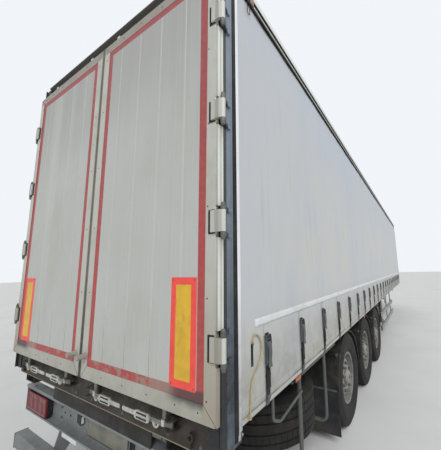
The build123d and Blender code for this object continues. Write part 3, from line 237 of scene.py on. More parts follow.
def galvanised(name, colour, rough, metal, stain=(96, 92, 78), stain_amount=0.35):
    """Zinc: spangles of lighter and darker crystals, larger darker patches and brown stains."""
    f = Finish(name, colour, rough, metal)
    cells = f.node("ShaderNodeTexVoronoi", {"Vector": f.place, "Scale": 85})
    grey = f.node("ShaderNodeSeparateColor", {0: cells.outputs["Color"]}).outputs[0]
    f.tint(f.ramp(grey, 0, 1, 0, 0.28), colour, 1.5)
    f.blotches(5, colour, 0.45, factor=0.6)
    f.blotches(11, stain, stain_amount, (1, 1, 0.35), 0.48, 0.75)
    f.roughen(f.ramp(grey, 0, 1, 0, 0.5), rough + 0.25)
    f.raised(f.noise(160, 3), 0.0003)
    return f


def rubber(name, colour, rough, dust_amount):
    f = Finish(name, colour, rough, specular=0.35)
    f.blotches(7, (92, 86, 76), dust_amount, low=0.42, high=0.72)
    f.roughen(f.noise(22, 3), 0.9)
    f.raised(f.noise(700, 2), 0.00025)
    return f


def aluminium(name, colour, rough, metal, grain_axis, dirt=(128, 124, 108), dirt_amount=0.3):
    """Extruded metal: fine drawn lines along its length, a dull oxide and grey-green dirt."""
    f = Finish(name, colour, rough, metal)
    stretch = {"Y": (1, 0.02, 1), "Z": (1, 1, 0.02)}[grain_axis]
    lines = f.noise(260, 2, 0.5, stretch)
    f.tint(f.ramp(lines, 0.35, 0.65, 0, 0.18), colour, 0.7)
    f.blotches(6, dirt, dirt_amount, low=0.42, high=0.72)
    f.roughen(lines, rough + 0.2)
    f.raised(lines, 0.00012)
    return f


DIRT = (122, 113, 96)
LIGHT_DIRT = (90, 82, 70)
painted("chassis_paint", (46, 45, 44), 0.5, (98, 90, 78), 0.55, (88, 58, 42)).dust_and_shade(DIRT, 0.35, 0.4, 1.1)
painted("leg_paint", (52, 52, 52), 0.5, (98, 90, 78), 0.5, (98, 66, 46)).dust_and_shade(DIRT, 0.6, 0, 0.7)
painted("axle_paint", (42, 41, 40), 0.55, (104, 94, 80), 0.7, (96, 62, 44))
painted("wall_paint", (206, 208, 204), 0.4, (140, 134, 120), 0.25)
# The pole paint darkens towards its foot: painted shade
painted("pole_paint", (240, 240, 244), 0.35, (178, 174, 168), 0.15).dust_and_shade((104, 106, 110), 0.75, 1.1, 1.95)
painted("lamp_plastic", (30, 30, 31), 0.4, (90, 84, 74), 0.5)
painted("tank_paint", (60, 62, 62), 0.4, (104, 98, 86), 0.5)
painted("rim_paint", (150, 149, 143), 0.42, (96, 86, 74), 0.75, (84, 62, 48), 0.35)
painted("cap_red", (120, 34, 30), 0.5, LIGHT_DIRT, 0.6)
painted("cap_yellow", (196, 156, 40), 0.5, LIGHT_DIRT, 0.6)
painted("faded_tag", (168, 128, 118), 0.6, (120, 96, 88), 0.5)
painted("sill_edge", (150, 138, 112), 0.5, (70, 58, 44), 0.8, (84, 62, 46))
painted("hub_grease", (64, 62, 60), 0.5, (98, 86, 70), 0.6)
painted("dark_steel", (62, 58, 52), 0.5, (98, 84, 66), 0.5, metal=0.4)
galvanised("carrier_zinc", (96, 99, 95), 0.5, 0.4).dust_and_shade(DIRT, 0.3, 0.4, 0.9)
galvanised("galvanised", (134, 139, 139), 0.5, 0.35).dust_and_shade(DIRT, 0.3, 0.35, 0.75)
galvanised("worn_zinc", (112, 114, 112), 0.5, 0.55, (60, 54, 46), 0.7)
galvanised("buckle_metal", (98, 101, 104), 0.42, 0.6)
rubber("seal_rubber", (128, 125, 113), 0.75, 0.3).dust_and_shade((62, 62, 58), 0.95, 1.25, 2.1)
rubber("flap_rubber", (33, 36, 42), 0.6, 0.35).dust_and_shade((84, 78, 68), 0.5, 0.1, 0.35)
rubber("buffer_rubber", (168, 168, 160), 0.6, 0.3)
rubber("guard_plastic", (30, 31, 32), 0.6, 0.4)
rubber("spring_rubber", (34, 34, 35), 0.65, 0.45)
rubber("tyre_rubber", (38, 37, 37), 0.8, 0.18)
rubber("strap_webbing", (30, 30, 32), 0.75, 0.35)
rubber("groove_black", (26, 26, 28), 0.7, 0.25)
aluminium("rack_aluminium", (158, 160, 158), 0.4, 0.6, "Y")

f = aluminium("rave_metal", (146, 146, 138), 0.42, 0.5, "Y").dust_and_shade(DIRT, 0.4, 1.12, 1.22)
f.tint(f.between("Z", 1.138, 1.164, 0.002), (196, 196, 190))
f.tint(f.between("Z", 1.166, 1.171, 0.001), (52, 50, 46))

f = galvanised("post_paint", (122, 133, 147), 0.5, 0.3, (104, 104, 96), 0.2)
f.tint(f.between("Y", -6.672, -6.655, 0.006, 0.5), (96, 108, 124))
f.tint(f.ramp("Z", 2.6, 3.8, 0, 0.5), (140, 150, 163))
# Painted shade on the post behind the door edge, in the gap between them
f.tint(f.ramp("Y", -6.710, -6.704, 1, 0), (62, 66, 64))
# The post darkens towards the bottom: painted shade, not dirt
f.dust_and_shade((34, 35, 38), 1, 1.2, 2.25)

f = painted("header_paint", (44, 38, 33), 0.5, (92, 80, 62), 0.65, (98, 70, 50))
f.tint(f.ramp("Z", 3.6, 3.7), (112, 110, 106))
f.tint(f.ramp("Z", 1.046, 1.049, 0.85, 0), (24, 23, 22))
f.blotches(9, (92, 84, 74), 0.3)

f = aluminium("rail_aluminium", (180, 180, 170), 0.42, 0.4, "Y")
f.tint(f.between("Z", 3.934, 3.948, 0.0015), (30, 30, 30))
# Painted highlight: the clamp strip along the roof edge is made near white
f.tint(f.between("Z", 3.952, 4.001, 0.002), (214, 216, 214))

# Door frame: worn and soiled towards its lower outer corner, where soot and a painted shadow lie together; darker along
# its top, with painted shade along its outer edge
f = aluminium("door_aluminium", (200, 200, 191), 0.45, 0.3, "Z", (156, 152, 134), 0.28)
f.dust_and_shade((132, 124, 104), 0.4, 1.2, 1.5)
outward = f.off_centre()
f.tint(f.times(f.ramp("Z", 1.3, 2.1, 0.7, 0), f.ramp(outward, 1.17, 1.19)), (172, 162, 142))
# Soot and a painted shadow together over the lower outer corner
soot_and_shadow_edge = f.maths("ADD", f.along("Z"), f.times(f.noise(7, 6, 0.7), 0.05))
soot_and_shadow = f.times(f.ramp(outward, 0.88, 1.02), f.ramp(outward, 1.178, 1.192, 1, 0),
               f.ramp(soot_and_shadow_edge, 1.288, 1.345, 0, 0.9), f.ramp("Z", 1.35, 1.36, 1, 0))
f.tint(soot_and_shadow, (70, 66, 60))
f.tint(f.ramp("Z", 3.79, 3.80, 0, 0.55), (124, 104, 98))
# Painted shade along the frame's outer edge, towards the post
f.tint(f.times(f.ramp(outward, 1.262, 1.2665), 0.35), (96, 94, 88))

f = galvanised("lock_zinc", (206, 207, 200), 0.32, 0.6, (120, 106, 84), 0.35)
f.blotches(34, (92, 84, 70), 0.45, low=0.54, high=0.70)
# Painted shade in the recesses: darker on faces set back behind the door face and low down
f.tint(f.times(f.ramp("Y", -6.7835, -6.7790), f.ramp("Z", 1.22, 1.24, 0.75, 0)), (66, 61, 52))

f = Finish("floor_wood", (92, 66, 46), 0.6)
f.blotches(6, (58, 40, 30), 0.6, (14, 0.8, 14), 0.35, 0.65, 6)
f.tint(f.ramp(f.maths("FRACT", f.times(f.along("X"), 6)), 0, 0.04, 0.8, 0), (24, 18, 14))
f.raised(f.noise(90, 4, 0.6, (3, 0.1, 3)), 0.0006)

# Door leaves: grey planks whose joints catch the light high up and hold soot low down
PLANK_FIRST, PLANK_PITCH = 0.0315, 0.243
f = Finish("door_paint", (188, 189, 183), 0.48)
f.blotches(1.1, (196, 198, 198), 0.5)
f.blotches(2.6, (176, 175, 167), 0.45, (1, 1, 0.5), 0.45, 0.72)
# Painted shade: the planks darken towards the top
f.tint(f.ramp("Z", 2.7, 3.75, 0, 0.75), (166, 165, 161))
planks = f.maths("DIVIDE", f.maths("SUBTRACT", f.off_centre(), PLANK_FIRST), PLANK_PITCH)
across = f.maths("FRACT", f.maths("ADD", planks, 0.5))
joint = f.maths("ABSOLUTE", f.maths("SUBTRACT", across, 0.5))
for place, strength in ((0.185, 0.35), (0.315, 0.45), (0.70, 0.4), (0.84, 0.3)):
    f.tint(f.between(across, place - 0.006, place + 0.006, 0.008, strength), (204, 206, 202))
f.blotches(7, (206, 208, 205), 0.4, (1, 1, 0.03), 0.54, 0.74, 4)
f.blotches(26, (166, 164, 154), 0.2, (1, 1, 0.045), 0.56, 0.76)
drips = f.ramp(f.noise(46, 4, 0.6, (1, 1, 0.05)), 0.6, 0.74, 0, 0.6)
f.tint(f.times(f.ramp("Z", 1.3, 1.7, 1, 0), drips), (124, 120, 108))
f.tint(f.ramp(joint, 0.016, 0.030, 0.85, 0), (210, 212, 206))
f.tint(f.times(f.ramp(joint, 0.006, 0.018, 0.7, 0), f.ramp("Z", 1.32, 1.8, 1, 0)), (104, 102, 92))
f.blotches(60, (160, 157, 146), 0.22, low=0.58, high=0.74)
f.roughen(f.noise(26, 5, 0.6, (1, 1, 0.045)), 0.66)
f.raised(f.noise(240, 3), 0.00018)

# Coated curtain and roof cloth: close weave under a satin coat, faint grime; low on the curtain the grime is darkened
# further as painted shade
f = Finish("curtain_fabric", (197, 200, 203), 0.46, specular=0.45)
f.blotches(0.55, (206, 204, 195), 0.6, (1, 1, 1.6), 0.38, 0.62)
f.blotches(1.6, (184, 190, 199), 0.5, (1, 1, 0.35), 0.45, 0.7)
f.blotches(18, (160, 158, 148), 0.3, (1, 1, 0.06), 0.56, 0.74)
f.tint(f.ramp("Z", 2.2, 3.9, 0, 0.6), (186, 194, 206))
# Grime low down, darkened further as painted shade
f.dust_and_shade((142, 138, 124), 0.75, 1.12, 1.8)
f.roughen(f.noise(8, 4), 0.6)
f.raised(f.times(f.wave(190, "Y"), f.wave(190, "Z")), 0.00012)
f.raised(f.noise(3.2, 3, 0.5, (1, 1, 0.5)), 0.003)

f = Finish("roof_fabric", (204, 205, 202), 0.5, specular=0.4)
f.blotches(1.4, (176, 174, 164), 0.6)
f.blotches(9, (150, 148, 136), 0.35)
f.raised(f.times(f.wave(190, "X"), f.wave(190, "Y")), 0.00012)

f = Finish("rope_fibre", (196, 174, 128), 0.85)
f.blotches(60, (150, 126, 84), 0.6)
f.raised(f.wave(90, "Z"), 0.0006)

f = Finish("lamp_amber", (204, 98, 20), 0.25, coat=0.6)
f.blotches(20, (170, 84, 20), 0.4)
f.raised(f.wave(60, "Y"), 0.0006)

# Reflective tape round the door panels: washed out low down, darker up high as painted shade, sooty towards the lower
# outer corner, where a painted shadow lies over the soot
f = Finish("tape_red", (172, 72, 70), 0.5)
# Painted shade: the tape darkens towards the top
f.tint(f.ramp("Z", 1.9, 3, 0, 0.55), (146, 72, 76))
f.blotches(30, (196, 92, 84), 0.4)
bottom_run = f.ramp("Z", 1.355, 1.375, 1, 0)
f.tint(f.times(bottom_run, f.ramp(f.noise(7.5, 5, 0.7), 0.50, 0.58, 0, 0.75)), (152, 140, 128))
# Soot and a painted shadow together towards the lower outer corner
corner = f.ramp(f.maths("ADD", f.off_centre(), f.times(f.noise(5, 3), 0.35)), 1.02, 1.20)
f.tint(f.times(bottom_run, f.times(corner, 0.9)), (86, 66, 68))
f.tint(f.times(bottom_run, f.between(f.off_centre(), 0.78, 0.96, 0.05, 0.6)), (158, 146, 134))
f.blotches(85, (120, 92, 86), 0.3, (1, 1, 0.3), 0.58, 0.75)

f = Finish("plate_red", (250, 84, 74), 0.4)
f.blotches(16, (232, 72, 62), 0.6)
f.blotches(60, (150, 60, 52), 0.35, (1, 1, 0.4), 0.6, 0.76)
f.raised(f.wave(420, "DIAGONAL"), 0.00005)

f = Finish("plate_yellow", (234, 186, 52), 0.4)
f.blotches(12, (200, 160, 44), 0.6)
f.blotches(48, (150, 126, 60), 0.4, (1, 1, 0.3), 0.58, 0.76)
f.raised(f.wave(420, "DIAGONAL"), 0.00005)

f = Finish("edge_white", (226, 228, 220), 0.4)
f.blotches(20, (186, 184, 172), 0.5, (1, 1, 0.2))

f = Finish("reflective_white", (222, 226, 228), 0.32)
f.blotches(6, (190, 192, 190), 0.5)
f.blotches(40, (150, 148, 140), 0.35, low=0.58, high=0.75)
f.raised(f.wave(300, "DIAGONAL"), 0.00008)

f = Finish("lens_red", (112, 24, 30), 0.4, coat=0.2)
f.blotches(18, (104, 34, 36), 0.6)
f.blotches(45, (108, 84, 74), 0.3, low=0.55, high=0.75)
f.raised(f.times(f.wave(36, "X"), f.wave(36, "Z")), 0.0004)

f = Finish("lens_clear", (136, 70, 68), 0.4, coat=0.2)
f.blotches(40, (128, 80, 76), 0.5)
f.raised(f.wave(70, "X"), 0.0003)

f = Finish("blank_plate", (128, 126, 116), 0.5)
f.blotches(7, (92, 88, 78), 0.8)
f.blotches(28, (160, 156, 144), 0.35)

f = Finish("ground_tone", (226, 226, 224), 0.9, specular=0.1)
f.blotches(0.8, (216, 216, 213), 0.5)

surface = {name: finish.finished() for name, finish in finishes.items()}
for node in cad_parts.values():
    for index, old in enumerate(node.data.materials):
        node.data.materials[index] = surface[old.name.split(".")[0]]

# Mesh tools, all on bmesh operators
REAR = -6.78           # plane of the door faces
PANEL = REAR + 0.003   # the planks lie a little behind the frame
SIDES = {"left": -1, "right": 1}
WAYS = (-1, 1)
WORN_ZINC = ("lock_zinc", "worn_zinc")   # slot and finish of bolts
IN, OUT, BACK, AHEAD, DOWN, UP = (-1, 0, 0), (1, 0, 0), (0, -1, 0), (0, 1, 0), (0, 0, -1), (0, 0, 1)


def meshes(count):
    return [bmesh.new() for _ in range(count)]


def verts_of(geometry):
    return [v for v in geometry if isinstance(v, bmesh.types.BMVert)]


def everything(bm):
    return list(bm.verts) + list(bm.edges) + list(bm.faces)


def edges_of(verts):
    """Every edge at the vertices, once each, in the same order on every run."""
    return list(dict.fromkeys(e for v in verts for e in v.link_edges))


def round_edges(bm, edges, offset, segments):
    bmesh.ops.bevel(bm, geom=edges, offset=offset, offset_type="OFFSET", segments=segments, profile=0.5,
                    affect="EDGES", material=-1)


def block(bm, low, high, edge=0, segments=1):
    """A block between two corners, with its edges rounded."""
    made = bmesh.ops.create_cube(bm, size=1)["verts"]
    low, high = Vector(low), Vector(high)
    bmesh.ops.scale(bm, vec=high - low, verts=made)
    bmesh.ops.translate(bm, vec=(low + high) / 2, verts=made)
    if edge:
        round_edges(bm, edges_of(made), edge, segments)


def slab(bm, centre, size, edge=0, segments=1):
    """A block about its centre."""
    low, high = ([c + way * s / 2 for c, s in zip(centre, size)] for way in WAYS)
    block(bm, low, high, edge, segments)


def rod(bm, start, reach, radius, sides=16, far_radius=None, edge=0):
    """A round bar from start along reach, or a cone where far_radius is given."""
    start, reach = Vector(start), Vector(reach)
    turn = reach.to_track_quat("Z", "Y").to_matrix().to_4x4()
    made = bmesh.ops.create_cone(bm, cap_ends=True, segments=sides, radius1=radius, depth=reach.length,
                                 radius2=radius if far_radius is None else far_radius,
                                 matrix=Matrix.Translation(start + reach / 2) @ turn)["verts"]
    if edge:
        rims = [e for e in edges_of(made)
                if len(e.link_faces) == 2 and max(len(f.verts) for f in e.link_faces) == sides]
        round_edges(bm, rims, edge, 2)


def bolt(bm, place, normal, radius=0.011, height=0.008):
    """A washer with a chamfered hexagon head."""
    place, normal = Vector(place), Vector(normal)
    rod(bm, place, normal * height * 0.25, radius * 1.35)
    rod(bm, place + normal * height * 0.2, normal * height * 0.8, radius, 6, edge=radius * 0.12)


def rivet(bm, place, normal, radius=0.005, height=0.0016):
    rod(bm, place, Vector(normal) * height, radius, 10, radius * 0.55)


def each(shape, bm, xs, ys, zs, *details):
    """The same shape at every crossing of places along the three axes, given as several or as one."""
    for place in product(*(p if isinstance(p, (tuple, list)) else [p] for p in (xs, ys, zs))):
        shape(bm, place, *details)


def pulled(bm, outline, direction):
    """An outline of points pulled along a direction into a closed bar."""
    face = bm.faces.new([bm.verts.new(point) for point in outline])
    made = bmesh.ops.extrude_face_region(bm, geom=[face])["geom"]
    bmesh.ops.translate(bm, vec=direction, verts=verts_of(made))


def loop(bm, points):
    """A closed line through the points, as geometry to spin."""
    verts = [bm.verts.new(point) for point in points]
    return verts + [bm.edges.new(pair) for pair in zip(verts, verts[1:] + verts[:1])]


def ring(bm, centre, axis, radius, thickness, steps=20, sides=6):
    """A round ring about an axis: a small circle spun right round it."""
    centre, axis = Vector(centre), Vector(axis).normalized()
    out = axis.orthogonal().normalized()
    turn = Matrix((out, axis, out.cross(axis))).transposed().to_4x4()
    verts = bmesh.ops.create_circle(bm, cap_ends=False, segments=sides, radius=thickness,
                                    matrix=Matrix.Translation(centre + out * radius) @ turn)["verts"]
    bmesh.ops.spin(bm, geom=verts + edges_of(verts), cent=centre, axis=axis, angle=2 * math.pi, steps=steps,
                   use_merge=True)


def hoop(bm, centre, radius, width, thickness, steps=36):
    """A flat band round the X direction."""
    x, y, z = centre
    section = ((-width / 2, 0), (-width / 2, thickness), (width / 2, thickness), (width / 2, 0))
    geometry = loop(bm, [(x + dx, y, z + radius + dr) for dx, dr in section])
    bmesh.ops.spin(bm, geom=geometry, cent=centre, axis=OUT, angle=2 * math.pi, steps=steps, use_merge=True)


def moved(bm, move):
    bmesh.ops.translate(bm, vec=move, verts=bm.verts)


def turned(bm, angle, axis):
    bmesh.ops.rotate(bm, cent=(0, 0, 0), matrix=Matrix.Rotation(angle, 3, axis), verts=bm.verts)


def copied(bm, stations):
    """Repeats everything in the mesh at each of the stations along the trailer."""
    first = everything(bm)
    for station in stations[1:]:
        made = bmesh.ops.duplicate(bm, geom=first)["geom"]
        bmesh.ops.translate(bm, vec=(0, station, 0), verts=verts_of(made))
    bmesh.ops.translate(bm, vec=(0, stations[0], 0), verts=verts_of(first))


def piece(name, bm, slot_name, finish=None, body="chassis", crease=35, recalculate=True):
    """Makes the mesh an object with its finish, riding on a body."""
    if recalculate:
        bmesh.ops.recalc_face_normals(bm, faces=bm.faces)
    data = bpy.data.meshes.new(name)
    bm.to_mesh(data)
    bm.free()
    data.materials.append(surface[finish or slot_name])
    data.polygons.foreach_set("use_smooth", [True] * len(data.polygons))
    data.set_sharp_from_angle(angle=math.radians(crease))
    made = bpy.data.objects.new(name, data)
    scene.collection.objects.link(made)
    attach(made, body)
    return made


def dress(side, *rows, body="chassis"):
    """Makes a piece of each row of name, mesh, slot and finish, and mirrors the left-hand ones."""
    made = []
    for name, bm, *looks in rows:
        if side == "left":
            bmesh.ops.scale(bm, vec=(-1, 1, 1), verts=bm.verts)
            bmesh.ops.reverse_faces(bm, faces=bm.faces)
        made.append(piece(f"{name}_{side}", bm, *looks, body=body))
    return made


# Doors: tape round the planks, marker plates, rivets and mitred corners
FRAME_IN, FRAME_OUT = 0.092, 1.186
PANEL_LOW, PANEL_TOP = 1.311, 3.793
PANEL_CORNERS = [(FRAME_IN, PANEL_LOW), (FRAME_OUT, PANEL_LOW), (FRAME_OUT, PANEL_TOP), (FRAME_IN, PANEL_TOP)]
DOOR_CORNERS = [(0.022, 1.2285), (1.27, 1.2285), (1.27, 3.8625), (0.022, 3.863)]
TAPE = 0.05
HINGE_X, HINGE_Y = 1.305, -6.772
HINGES = [1.573 + 0.63 * k for k in range(4)]
HINGE_CLEAR = 0.084    # from the middle of a hinge to past its lugs
DOOR_LOW, DOOR_HIGH = 1.2268, 3.8642
for side in SIDES:
    tape, plate, centre, rivets, mitres = meshes(5)
    face = tape.faces.new([tape.verts.new((x, PANEL, z)) for x, z in PANEL_CORNERS])
    rim = bmesh.ops.inset_region(tape, faces=[face], thickness=0.0012, use_even_offset=True, use_boundary=True)["faces"]
    bmesh.ops.delete(tape, geom=rim, context="FACES")
    bmesh.ops.inset_region(tape, faces=[face], thickness=TAPE, use_even_offset=True, use_boundary=True)
    bmesh.ops.delete(tape, geom=[face], context="FACES")
    made = bmesh.ops.extrude_face_region(tape, geom=list(tape.faces))["geom"]
    bmesh.ops.translate(tape, vec=(0, -0.0005, 0), verts=verts_of(made))
    block(plate, (0.936, PANEL - 0.0016, 1.352), (1.131, PANEL, 1.917), 0.0004)
    block(centre, (0.976, PANEL - 0.0021, 1.392), (1.091, PANEL - 0.0014, 1.877), 0.0002)
    each(rivet, rivets, (0.286, 0.52, 0.754, 0.988, 1.15), REAR, (1.268, 3.829), BACK)
    each(rivet, rivets, (1.205, 0.056), REAR, [1.33 + 0.48 * k for k in range(6)], BACK)
    each(rivet, rivets, (0.95, 1.117), PANEL - 0.0016, (1.366, 1.903), BACK, 0.004)
    for (x, z), (far_x, far_z) in zip(PANEL_CORNERS, DOOR_CORNERS):
        along = Vector((far_x - x, 0, far_z - z))
        across = Vector((along.z, 0, -along.x)).normalized() * 0.0009
        start = Vector((x, REAR - 0.0006, z))
        pulled(mitres, [start - across, start + across, start + across + along, start - across + along], (0, 0.0006, 0))

    # Edge caps between the hinges with a white strip on their side, painted as the highlight of the lit side face, a
    # white painted highlight on the post's lip, and the tape's lap on the stile
    caps, highlight_strips, laps, lips = meshes(4)
    ends = [DOOR_LOW, *(z + way * HINGE_CLEAR for z in HINGES for way in WAYS), DOOR_HIGH]
    spans = list(zip(ends[::2], ends[1::2]))
    for low, high in spans:
        block(caps, (1.248, REAR - 0.0003, low), (1.2715, -6.753, high), 0.0055, 3)
    for low, high in spans[1:]:
        # Painted highlights: white strips on the lit side faces of door and post lip
        block(highlight_strips, (1.2705, REAR + 0.0042, low), (1.274, -6.7535, high), 0.001)
        block(lips, (1.2745, -6.752, low), (1.2762, -6.7345, high), 0.0006)
    outline = ((1.184, 1.312), (1.187, 1.312), (1.197, 3.792), (1.184, 3.792))
    pulled(laps, [(x, REAR - 0.0006, z) for x, z in outline], (0, 0.0036, 0))

    # Hinge dressing: dark packing round each block that also stands in as painted shadow in the gap, white sleeve
    # painted as the highlight of the lit barrel, zinc lug sleeves and conical bushes
    packing_and_shade, highlight_sleeves, bushes = meshes(3)
    for z in HINGES:
        # Dark packing that also stands in as painted shadow in the gap round the block
        block(packing_and_shade, (1.212, REAR - 0.0046, z - 0.064), (1.2355, REAR + 0.001, z + 0.064), 0.0015)
        # Painted highlight: the white sleeve stands for the lit side of the hinge barrel
        rod(highlight_sleeves, (HINGE_X, HINGE_Y, z - 0.0572), (0, 0, 0.1144), 0.01405, 28)
        for way in WAYS:
            lip = z + way * 0.0608
            block(packing_and_shade, (1.2345, REAR - 0.0046, lip - 0.0036), (1.255, REAR + 0.001, lip + 0.0036), 0.001)
            rod(bushes, (HINGE_X, HINGE_Y, z + way * 0.059), (0, 0, way * 0.0212), 0.01425, 24)
            rod(bushes, (HINGE_X, HINGE_Y, z + way * 0.0805), (0, 0, way * 0.0175), 0.0135, 20, 0.0088, 0.0015)
            ring(bushes, (HINGE_X, HINGE_Y, z + way * 0.07), UP, 0.0139, 0.001)
    for vert in [*highlight_sleeves.verts, *bushes.verts]:
        vert.co.x = min(vert.co.x, cad_high[0])

    # Rear corner of the body: white lip beside the door, painted as a highlight, black strip and white sleeve at the
    # curtain pole
    seal, sleeve = meshes(2)
    block(seal, (1.242, -6.6495, 1.098), (1.2753, -6.61, 3.868), 0.002, 2)
    block(sleeve, (1.261, -6.6095, 1.128), (1.2783, -6.5815, 3.867), 0.0068, 4)
    for z in (1.6, 2.64, 3.3):
        block(sleeve, (1.2605, -6.6105, z), (1.2788, -6.581, z + 0.006), 0.002)
    dress(side, ("door_tape", tape, "door_paint", "tape_red"), ("marker_plate", plate, "door_paint", "plate_red"),
          ("marker_centre", centre, "door_paint", "plate_yellow"),
          ("door_rivets", rivets, "door_aluminium", "dark_steel"),
          ("door_mitres", mitres, "door_aluminium", "groove_black"), ("door_edge_caps", caps, "door_aluminium"),
          ("door_edge_strips", highlight_strips, "door_aluminium", "edge_white"),
          ("door_tape_laps", laps, "door_aluminium", "tape_red"),
          ("hinge_packing_and_shade", packing_and_shade, "seal_rubber", "groove_black"),
          ("hinge_highlight_sleeves", highlight_sleeves, "door_aluminium", "edge_white"), body="door_" + side)
    dress(side, ("hinge_bushes", bushes, *WORN_ZINC), ("post_lip_highlights", lips, "post_paint", "edge_white"),
          ("pole_seals", seal, "seal_rubber", "groove_black"), ("pole_sleeves", sleeve, "pole_paint"))

# Side curtains and roof cover: one waved skin each, the curtains pulled down at every strap
CURTAIN_X = 1.2645
CURTAIN_REAR, CURTAIN_FRONT = -6.5885, 6.72
CURTAIN_LOW, CURTAIN_TOP = 1.17, 3.87
STRAP_FIRST, STRAP_PITCH, STRAP_COUNT = REAR + 0.484, 0.574, 23
STRAPS = [STRAP_FIRST + STRAP_PITCH * k for k in range(STRAP_COUNT)]
LATHS = [1.75, 2.33, 2.91, 3.49]
SEAMS = [CURTAIN_REAR + 2.14 + 2.05 * k for k in range(6)]


def curtain_wave(y, z):
    """How far the cloth stands out at a place, in metres."""
    low = math.exp(-(z - CURTAIN_LOW) / 0.42)
    top = math.exp(-(CURTAIN_TOP - z) / 0.3)
    strap = 2 * math.pi * (y - STRAP_FIRST) / STRAP_PITCH
    out = -0.0024 * math.cos(strap) * low - 0.0012 * math.cos(2 * strap + 3.1 * z) * low
    out += 0.001 * math.cos(2 * math.pi * y / 0.46) * top
    out += 0.0011 * math.sin(1.9 * y + 1.3 * z) + 0.0007 * math.sin(4.3 * y - 2.1 * z + 0.8)
    for lath in LATHS:
        out += 0.0011 * math.exp(-((z - lath) / 0.075) ** 2)
    for seam in SEAMS:
        out += 0.0011 / (1 + math.exp(min(40, (abs(y - seam) - 0.02) / 0.0035)))
    return out


def cloth(name, bm, slot_name, finish=None, thickness=0.0011):
    """A thin skin with the thickness of its cloth."""
    made = piece(name, bm, slot_name, finish, recalculate=False, crease=60)
    shell = made.modifiers.new("cloth", "SOLIDIFY")
    shell.thickness = thickness
    shell.offset = 0
    return made


def waved(name, side, rows, ys, zs, lift=0, finish=None, thickness=0.0011):
    """A skin with the curtain's waves, from end to end of the ys and zs and lifted off the curtain."""
    bm = bmesh.new()
    bmesh.ops.create_grid(bm, x_segments=330, y_segments=rows, size=0.5)
    for v in bm.verts:
        y = ys[0] + (v.co.x + 0.5) * (ys[1] - ys[0])
        z = zs[0] + (v.co.y + 0.5) * (zs[1] - zs[0])
        v.co = (SIDES[side] * (CURTAIN_X + lift + curtain_wave(y * (1.03 if side == "left" else 1), z)), y, z)
    if side == "left":
        bmesh.ops.reverse_faces(bm, faces=bm.faces)
    return cloth(name + side, bm, "curtain_fabric", finish, thickness)


length, height = CURTAIN_FRONT - CURTAIN_REAR, CURTAIN_TOP - CURTAIN_LOW
for side in SIDES:
    curtain = waved("side_curtain_", side, 56, (CURTAIN_REAR, CURTAIN_FRONT), (CURTAIN_LOW, CURTAIN_TOP))
    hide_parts("curtain_" + side)
    # White contour band along it, and the hem that the straps pull
    bands = [waved("contour_band_", side, 3, (-6.426, 6.71), (1.604, 1.654), 0.001, "reflective_white", 0.0008),
             waved("curtain_hem_", side, 3, (-6.58, 6.71), (1.172, 1.214), 0.001, None, 0.0008)]

ROOF_REAR, ROOF_FRONT, ROOF_HALF = -6.65, 6.77, 1.212
BOW_FIRST, BOW_LAST, BOW_SPANS = -6.62, 6.74, 20
bm = bmesh.new()
bmesh.ops.create_grid(bm, x_segments=300, y_segments=40, size=0.5)
bow_pitch = (BOW_LAST - BOW_FIRST) / BOW_SPANS
for v in bm.verts:
    y = ROOF_REAR + (v.co.x + 0.5) * (ROOF_FRONT - ROOF_REAR)
    x = -v.co.y * 2 * ROOF_HALF
    edge = 1 - (abs(x) / ROOF_HALF) ** 4
    sag = math.sin(math.pi * (y - BOW_FIRST) / bow_pitch) ** 2
    v.co = (x, y, 3.9862 - 0.011 * sag * edge - 0.0015 * edge * math.sin(3.1 * x + 1.7 * y))
roof = cloth("roof_cover", bm, "roof_fabric", thickness=0.0012)
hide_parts("roof_sheet")

# Curtain straps: sewn patch, webbing, over-centre buckle and rave hook, one unit repeated
HOOK_LINE = [(1.27, 1.186), (1.2745, 1.18), (1.2752, 1.166), (1.2702, 1.158), (1.2668, 1.146), (1.266, 1.134),
             (1.261, 1.1302), (1.253, 1.1302), (1.2498, 1.1335)]
LEVER_LINE = [(1.2838, 1.5), (1.288, 1.492), (1.2918, 1.47), (1.294, 1.44), (1.2925, 1.41), (1.2885, 1.386),
              (1.2905, 1.366), (1.2945, 1.352)]
CHEEK = [(1.2722, 1.36), (1.286, 1.368), (1.29, 1.42), (1.2905, 1.5), (1.287, 1.538), (1.2722, 1.543)]
CHEEK_RIVETS = ((1.283, 1.496, 0.0045, 0.002), (1.282, 1.514, 0.004, 0.0016), (1.282, 1.385, 0.004, 0.0016))
PINS = ((1.2815, 1.514, 0.0042, 10), (1.2815, 1.385, 0.0042, 10), (1.2845, 1.448, 0.005, 10),
        (1.2722, 1.172, 0.0036, 8))
UPPER_LOOP = [(1.2676, 1.551), (1.2682, 1.546), (1.27, 1.532), (1.279, 1.522), (1.2835, 1.514), (1.279, 1.507),
              (1.2702, 1.512), (1.2698, 1.545)]
LOWER_RUN = [(1.27, 1.452), (1.2725, 1.42), (1.2815, 1.392), (1.283, 1.384), (1.278, 1.376), (1.2722, 1.352),
             (1.2712, 1.3), (1.2706, 1.23), (1.27, 1.178)]
LOOSE_END = [(1.2752, 1.34), (1.2765, 1.3), (1.2762, 1.262), (1.2775, 1.228)]


def webbing(bm, places, width, thickness=0.0022):
    """A flat strap through (x, z) places, width across y."""
    row = [bm.verts.new((x, -width / 2, z)) for x, z in places]
    edges = [bm.edges.new(pair) for pair in zip(row, row[1:])]
    made = bmesh.ops.extrude_edge_only(bm, edges=edges)["geom"]
    bmesh.ops.translate(bm, vec=(0, width, 0), verts=verts_of(made))
    faces = [g for g in made if isinstance(g, bmesh.types.BMFace)]
    bmesh.ops.solidify(bm, geom=faces, thickness=thickness)


